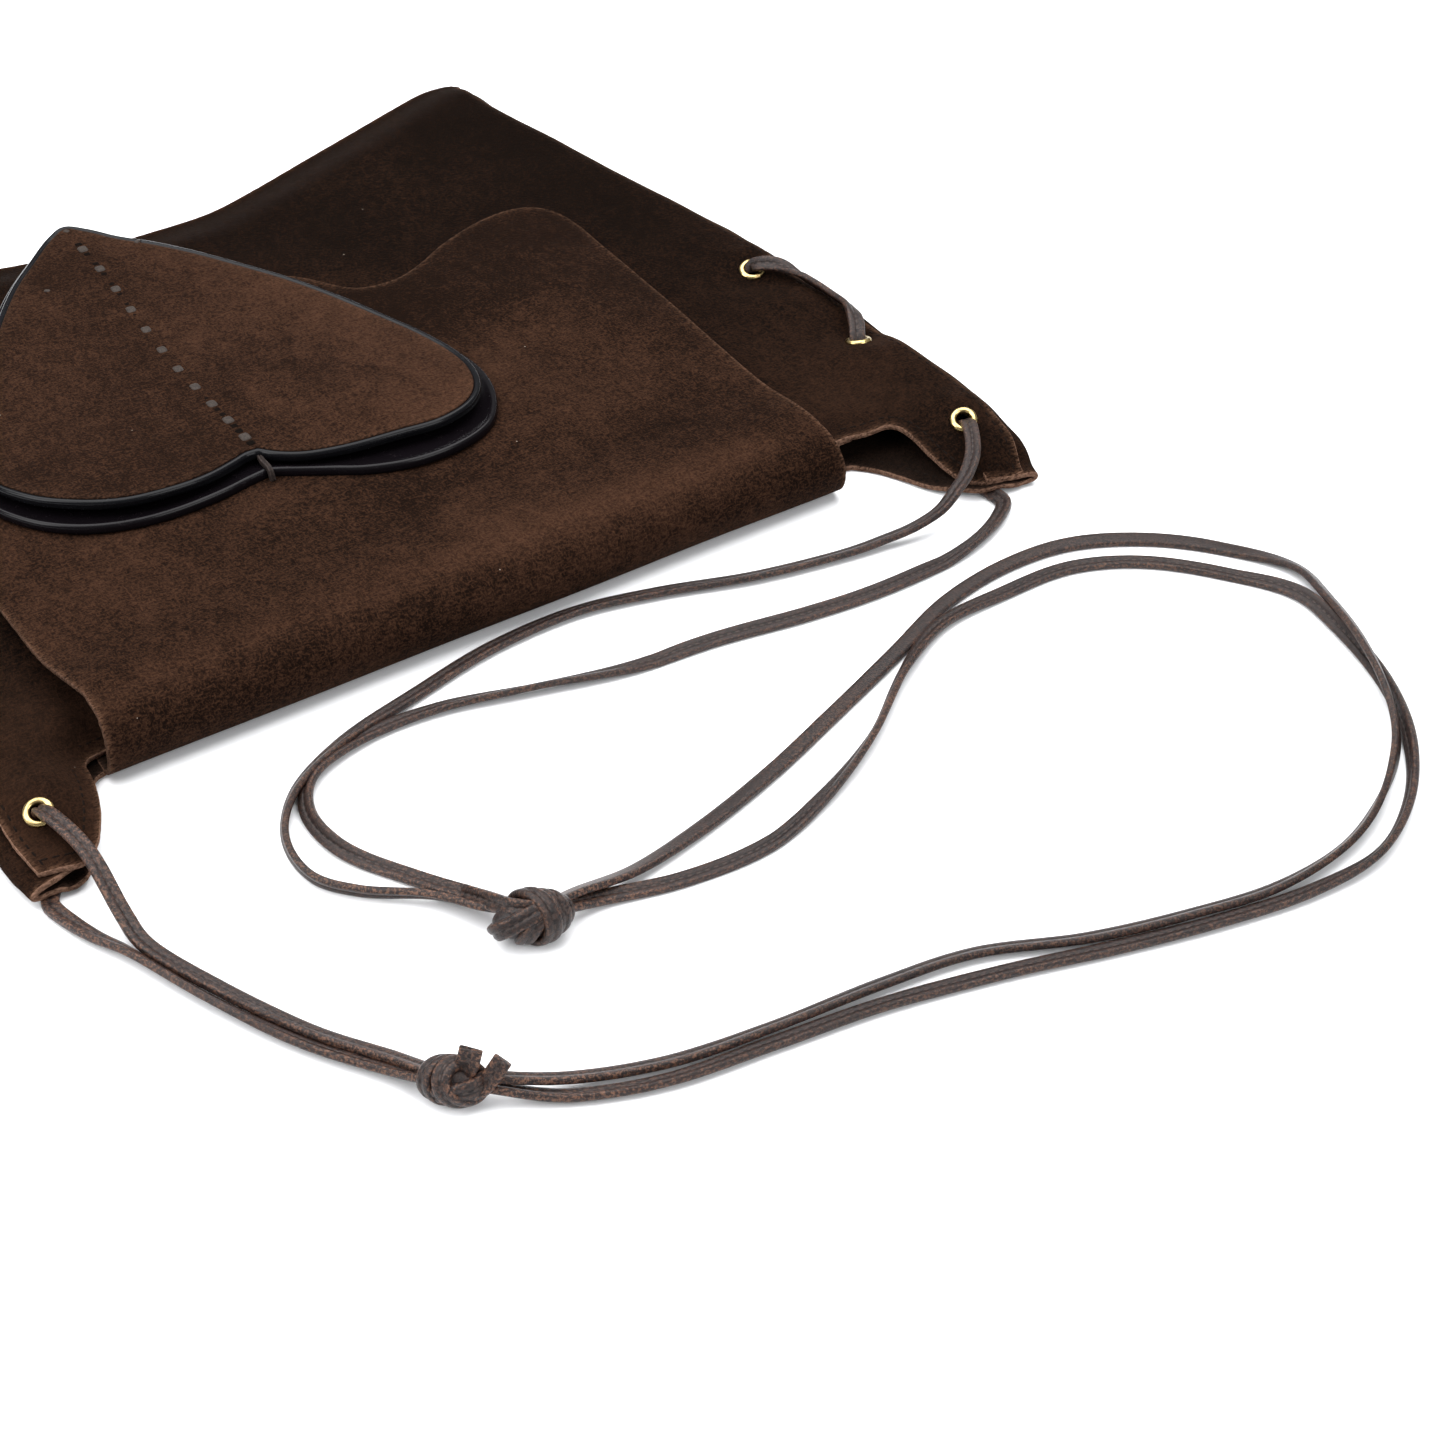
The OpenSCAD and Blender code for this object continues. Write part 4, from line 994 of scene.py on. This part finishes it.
def heart_solid(name, outline, profile, material, rise=None, dome=0.0, tone_and_painted_light=False):
    """A heart built up from rings. profile lists (inset, height) from its underside over its edge."""
    centre = HEART_CENTRE
    ahead = unit(np.roll(outline, -1, axis=0) - np.roll(outline, 1, axis=0))
    normal = np.stack([ahead[:, 1], -ahead[:, 0]], axis=1)
    ray = outline - centre
    reach = np.linalg.norm(ray, axis=1, keepdims=True)
    ray = ray / reach
    slant = np.maximum(np.abs((ray * normal).sum(1, keepdims=True)), 0.45)
    rings, heights, insets = [], [], []
    for inset, height in profile:
        rings.append(outline - ray * inset / slant)
        heights.append(np.full(len(outline), height))
        insets.append(inset)
    shares = np.linspace(1, 0, 26)[1:-1]
    last, last_height = rings[-1], profile[-1][1]
    for share in shares:
        rings.append(centre + (last - centre) * share)
        heights.append(np.full(len(outline), last_height + dome * (1 - share**2)))
        insets.append(20)
    plan, h = np.array(rings), np.array(heights)
    if rise is not None:
        h = h + rise(plan[..., 0], plan[..., 1])
    n = len(outline)
    flat = plan.reshape(-1, 2)
    h = h.ravel()
    middle_h = last_height + dome + (0 if rise is None else float(rise(centre[0], centre[1])))
    base_h = profile[0][1] + (0 if rise is None else float(rise(centre[0], centre[1])))
    verts = flap_place(np.append(flat[:, 0], [centre[0]] * 2) + HEART_X,
                       np.append(flat[:, 1], [centre[1]] * 2), np.append(h, [middle_h, base_h]))
    count = len(plan)
    faces = grid_faces(count, n, close_cols=True).tolist()
    top, low = count * n, count * n + 1
    faces += [[top, (count - 1) * n + i, (count - 1) * n + (i + 1) % n] for i in range(n)]
    faces += [[low, (i + 1) % n, i] for i in range(n)]
    worn = np.append(np.repeat(np.exp(-np.abs(np.array(insets) - 1.2) / 1.6), n), [0, 0]) * 0.5
    shade = np.zeros(len(verts))
    if tone_and_painted_light:
        # Painted light and shade over random tone: the suede face lighter on its right, darker on its left.
        shade = (0.10 * waves(verts[:, 0], verts[:, 1], 50, 61)
                 + 0.32 * smoothstep(-70, 20, verts[:, 0]) - 0.12)
    return add_mesh(name, verts, faces, [material], None, {"worn": worn, "tone_and_painted_light": shade})


def make_hearts():
    base = heart_solid("heart_base_moulded", heart_outline(BASE_HEART), [
        (0.9, 0.05), (0.0, 0.12), (-0.45, 0.5), (-0.5, 1.2), (-0.45, 2.0), (-0.25, 2.8), (0.1, 3.35),
        (0.7, 3.6), (1.3, 3.5), (2.0, 3.15), (2.8, 2.7), (4.0, 2.3), (5.5, 2.1), (9, 2.0),
        (14, 1.95)], MAT["gloss"])
    backing = heart_solid("heart_painted_edge", heart_outline(TOP_HEART), [
        (4.0, 3.3), (0.6, 3.35), (-0.35, 3.55), (-0.8, 4.1), (-1.0, 4.9), (-1.05, 5.7), (-0.9, 6.4),
        (-0.5, 6.95), (0.05, 7.2), (0.6, 7.15), (1.1, 6.85), (1.9, 6.3), (3.0, 5.8), (8.0, 5.8)],
        MAT["paint"], heart_lift)
    facing = heart_solid("heart_suede_face", heart_outline(TOP_HEART), [
        (3.0, 5.85), (2.0, 6.2), (1.55, 6.6), (1.6, 6.95), (2.0, 7.2), (2.8, 7.35), (4.2, 7.4),
        (7.0, 7.45), (11.0, 7.5)], MAT["heart"], heart_lift, 0.25, tone_and_painted_light=True)
    for obj, node, slot in ((base, "heart_base", "gloss_leather"), (backing, "heart_backing", "painted_edge"),
                            (facing, "heart_facing", "heart_suede")):
        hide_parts(node)
        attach(obj, "flap_body")


def pillow(centre, half_long, half_wide, high, angle=0.0, count=(9, 16)):
    """A stitch as a rounded bar, in the heart's own plan: points and faces."""
    rows, cols = count
    verts = []
    for k in range(rows):
        lat = math.pi / 2 * k / (rows - 1)
        for j in range(cols):
            w = 2 * math.pi * j / cols
            cx = math.copysign(abs(math.cos(w)) ** 0.55, math.cos(w)) * math.cos(lat) ** 0.6
            cy = math.copysign(abs(math.sin(w)) ** 0.55, math.sin(w)) * math.cos(lat) ** 0.6
            px, py = half_wide * cx, half_long * cy
            verts.append((centre[0] + px * math.cos(angle) - py * math.sin(angle),
                          centre[1] + px * math.sin(angle) + py * math.cos(angle),
                          high * math.sin(lat)))
    return np.array(verts), grid_faces(rows, cols, close_cols=True)


def stitches(name, places, half_long, half_wide, high, ground, material, angles=None, sink=0.35):
    """Several stitches as one piece. ground(x, y) gives the 3-D point under each plan point."""
    verts, faces, first = [], [], 0
    for k, spot in enumerate(places):
        angle = 0.0 if angles is None else angles[k]
        v, f = pillow(spot, half_long, half_wide, high, angle)
        verts.append(ground(v[:, 0], v[:, 1], v[:, 2] - sink))
        faces.append(f + first)
        first += len(v)
    return add_mesh(name, np.vstack(verts), np.vstack(faces), [material])


def on_heart(x, y, h):
    local_x = np.asarray(x) - HEART_X
    return flap_place(x, y, HEART_FACE_H + heart_lift(local_x, np.asarray(y)) + h)


LACING = [(-0.6, 115.7), (-1.1, 97.7), (-2.2, 80), (-3.6, 62.7), (-4.8, 46), (-5.8, 29.6), (-6.4, 14),
          (-6.4, -0.6), (-6.3, -14.4), (-6.0, -27.3), (-5.8, -40.4)]


def make_heart_trim():
    spots = np.array(LACING) + [HEART_X, 0]
    ahead = unit(np.gradient(spots, axis=0))
    angles = np.arctan2(ahead[:, 1], ahead[:, 0]) - math.pi / 2
    lacing = stitches("heart_lacing_thong", spots, 2.45, 1.9, 1.1, on_heart, MAT["thong"], angles)
    # Dark spots in the lacing slits: painted shade inside the holes.
    slits = [spot + side * 4.5 * way for spot, way in zip(spots, ahead) for side in (-1, 1)]
    dark = stitches("heart_lacing_slit_shade", slits, 1.5, 1.45, 0.42, on_heart, MAT["hole_shade"],
                    np.repeat(angles, 2), sink=0.15)
    tips = [(HEART_X - 0.2, 133.0), (HEART_X - 23.8, 93.9), (HEART_X + 19.1, 109.5)]
    tacks = stitches("heart_tack_stitches", tips, 1.3, 1.0, 0.7, on_heart, MAT["thong"], [0.5, 0.9, -0.9])
    tie_line = spline([(-47.6, 4.3), (-49.8, 5.0), (-52.3, 4.2), (-56.0, 4.2), (-58.2, 3.8), (-59.6, 0.4)],
                      count=24)
    tie = sweep_lace("heart_cleft_tie", flap_place(HEART_X - 5.4 + 0 * tie_line[:, 0], *tie_line.T),
                     width=np.full(24, 0.34), wear=np.full(24, 0.1))
    tie.data.materials[0] = MAT["tie"]
    for obj, nodes in ((lacing, ["heart_lacing"]), (dark, []), (tacks, ["tip_stitches"]),
                       (tie, ["cleft_tie"])):
        if nodes:
            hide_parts(*nodes)
        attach(obj, "flap_body")


# ---------------------------------------------------------------- eyelets and the laced sides

EYELET_PROFILE = [(2.62, -3.4), (2.62, 0.5), (2.78, 1.0), (3.2, 1.35), (3.7, 1.45), (4.25, 1.3), (4.7, 0.95),
                  (4.95, 0.5), (5.0, 0.05), (4.9, -0.15), (3.3, -0.2), (3.2, -3.4)]


def ring_of(centre, normal, profile, count=RING_POINTS):
    normal = unit(normal)
    across = unit(np.cross(normal, [0, 1.0, 0.2]))
    other = np.cross(normal, across)
    w = np.linspace(0, 2 * math.pi, count, endpoint=False)
    out = np.cos(w)[:, None] * across + np.sin(w)[:, None] * other
    return np.array([centre + r * out + h * normal for r, h in profile]).reshape(-1, 3)


def make_front_eyelets():
    for side, s in SIDES.items():
        verts, faces = [], []
        for i in range(3):
            x, y = front_eyelet(s, i)
            normal = front_normal(x, y)
            top = np.array([x, y, float(front_height(x, y))]) + normal * PANEL_T / 2
            faces.append(grid_faces(len(EYELET_PROFILE), RING_POINTS, close_rows=True, close_cols=True,
                                    first=len(verts) * len(EYELET_PROFILE) * RING_POINTS))
            verts.append(ring_of(top, normal, EYELET_PROFILE))
        obj = add_mesh(f"eyelets_front_{side}_brass", np.vstack(verts), np.vstack(faces), [MAT["brass"]])
        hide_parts(f"eyelets_front_{side}", f"washers_front_{side}")
        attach(obj, "front")


# The outside lace's run from the third front eyelet to the second: offset from the first of them, height
OUTSIDE_RUN = [(0, 0, 14), (2.5, -3.5, 16.2), (7, -8, 16.6), (12, -23, 15.8), (14, -38, 15.8),
               (13.5, -48, 17), (10.5, -57, 16.6), (7.8, -62.2, 14.6), (7.3, -64.5, 11.5)]
OUTSIDE_FACING = [(0, (-0.3, -0.5, 0.8)), (0.16, (-0.3, -0.5, 0.8)), (0.36, (0.75, 0.35, 0.55)),
                  (0.70, (0.75, 0.35, 0.55)), (0.86, (-0.45, -0.7, 0.55)), (1, (-0.45, -0.7, 0.55))]


def make_outside_laces():
    """The lace between the second and third front eyelets bows out towards the side fold."""
    shares = [share for share, _ in OUTSIDE_FACING]
    for side, s in SIDES.items():
        low, high = front_eyelet(s, 1), front_eyelet(s, 2)
        rest = np.linspace(0, 1, len(OUTSIDE_RUN))[:, None]
        plan = np.array(OUTSIDE_RUN)[:, :2] * [s, 1] + high
        plan = plan + rest * (low - plan[-1])
        bed = front_height(plan[:, 0], plan[:, 1]) + PANEL_T / 2
        line = np.column_stack([plan, np.maximum(np.array(OUTSIDE_RUN)[:, 2] - (0 if s > 0 else 1.0),
                                                 bed + [-2, 1.6, 1.6, 1.6, 1.6, 2.0, 2.2, 1.6, -2.5])])
        line = np.vstack([line[:1] - [0, 0, 2.5], line, [[*low, line[-1, 2] - 2]]])
        path = spline(line, step=0.8)
        share = np.linspace(0, 1, len(path))
        facing = unit(np.column_stack([np.interp(share, shares, [f[k] for _, f in OUTSIDE_FACING])
                                       for k in range(3)]) * [s, 1, 1])
        width = 1.08 - 0.2 * smoothstep(0.10, 0.0, share) - 0.12 * smoothstep(0.93, 1, share)
        obj = sweep_lace(f"lace_outside_{side}_run", path, width=width, facing=facing,
                         wear=np.full(len(path), 0.12))
        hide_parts(f"lace_outside_{side}")
        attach(obj, "front")


# ---------------------------------------------------------------- seams and facings

def thread_line(name, line, ground, body, pitch=4.2):
    """Running stitches along a plan line."""
    spots = resample(line, step=pitch)
    heading = np.gradient(spots, axis=0)
    angles = np.arctan2(heading[:, 1], heading[:, 0]) - math.pi / 2
    obj = stitches(name, spots, 1.25, 0.36, 0.42, ground, MAT["thread"], angles, sink=0.16)
    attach(obj, body)
    return obj


def on_front(x, y, h):
    return np.stack([x, y, front_height(x, y) + PANEL_T / 2 + h], axis=-1)


def inside_back(x, y, h):
    return np.stack([x, y, back_height(x, y) + PANEL_T / 2 + h], axis=-1)


def inset_line(rims, s, inset):
    line = spline(np.array(rims[s])[:, :2], 1.0)
    line = line[line[:, 0] < 184] * [s, 1]
    ahead = unit(np.gradient(line, axis=0))
    return line + np.stack([-ahead[:, 1], ahead[:, 0]], axis=1) * inset * s


def make_seams():
    for side, s in SIDES.items():
        ys = np.arange(RIM_FRONT[s][-1][1] + 3, 150, 2.0)
        lap = np.stack([s * (side_x(ys, s) - LAP_INSET - 2.6), ys], axis=1)
        thread_line(f"seam_side_{side}", lap, on_front, "front")
        thread_line(f"seam_rim_front_{side}", inset_line(RIM_FRONT, s, 4.5), on_front, "front", 3.6)
        thread_line(f"seam_rim_back_{side}", inset_line(RIM_BACK, s, 4.5), inside_back, "root", 3.6)


def make_facings():
    """Bands of suede sewn inside the mouth."""
    for name, z_of, node, body, flip in (
            ("mouth_facing_back_suede", lambda x, y: back_height(x, y) + 1.9,
             "mouth_facing_back", "root", 1),
            ("mouth_facing_front_suede", lambda x, y: front_height(x, y) - 1.8,
             "mouth_facing_front", "front", -1)):
        low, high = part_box(node)
        y0 = low.y / MM + (9 if body == "root" else 2)
        xs = np.linspace(low.x / MM, high.x / MM, 120)
        ys = np.linspace(y0, high.y / MM, 18)
        x, y = np.meshgrid(xs, ys)
        grid = np.dstack([x, y, z_of(x, y)])
        grid = grid if flip > 0 else grid[:, ::-1]
        obj = leather_sheet(name, grid, 1.1, [MAT["flesh"], MAT["raw"], MAT["flesh"]])
        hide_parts(node)
        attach(obj, body)


# ---------------------------------------------------------------- carried-over CAD pieces

def dress_cad():
    """The lace runs, back eyelets and washers keep their CAD shape and get their own materials."""
    looks = {"lace_inside": "lace_plain", "lace_cross": "lace_plain", "lace_under": "lace_plain",
             "lace_back_inside": "lace_plain", "eyelets_back": "brass", "washers_back": "brass"}
    for stem, look in looks.items():
        for side in SIDES:
            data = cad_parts[f"{stem}_{side}"].data
            data.materials.clear()
            data.materials.append(MAT[look])


# ---------------------------------------------------------------- studio

def make_studio():
    verts = np.array([[-4000, -4000, 0], [4000, -4000, 0], [4000, 4000, 0], [-4000, 4000, 0]])
    floor = add_mesh("floor", verts, [[0, 1, 2, 3]], [floor_material()])
    scene = bpy.context.scene
    scene.view_settings.view_transform = "Standard"
    world = bpy.data.worlds.new("studio")
    world.use_nodes = True
    background = world.node_tree.nodes["Background"]
    background.inputs["Color"].default_value = (0.97, 0.985, 1.0, 1)
    tree = world.node_tree
    toward = new_node(tree, "ShaderNodeTexCoord").outputs["Generated"]
    up = new_node(tree, "ShaderNodeSeparateXYZ", {"Vector": toward}).outputs["Z"]
    strength = new_node(tree, "ShaderNodeMapRange", {
        "Value": up, "From Min": 0.0, "From Max": 1.0, "To Min": 0.16, "To Max": 0.72}).outputs[0]
    tree.links.new(strength, background.inputs["Strength"])
    scene.world = world
    boxes = [("overhead", (0.1, 0.25, 1.5), (0.0, -0.1, 0), 2.2, 68),
             ("left_window", (-1.5, 0.1, 1.1), (0, -0.1, 0), 1.1, 24),
             ("front_fill", (0.5, -1.6, 1.0), (0, -0.1, 0), 1.0, 14)]
    for name, place, target, size, power in boxes:
        data = bpy.data.lights.new(name, "AREA")
        data.shape = "SQUARE"
        data.size = size
        data.energy = power
        lamp = bpy.data.objects.new(name, data)
        lamp.location = place
        lamp.rotation_euler = (Vector(target) - Vector(place)).to_track_quat("-Z", "Y").to_euler()
        scene.collection.objects.link(lamp)


make_front_panel()
make_back_panel()
make_flap()
make_hearts()
make_heart_trim()
make_front_eyelets()
make_outside_laces()
make_seams()
make_facings()
dress_cad()
make_studio()
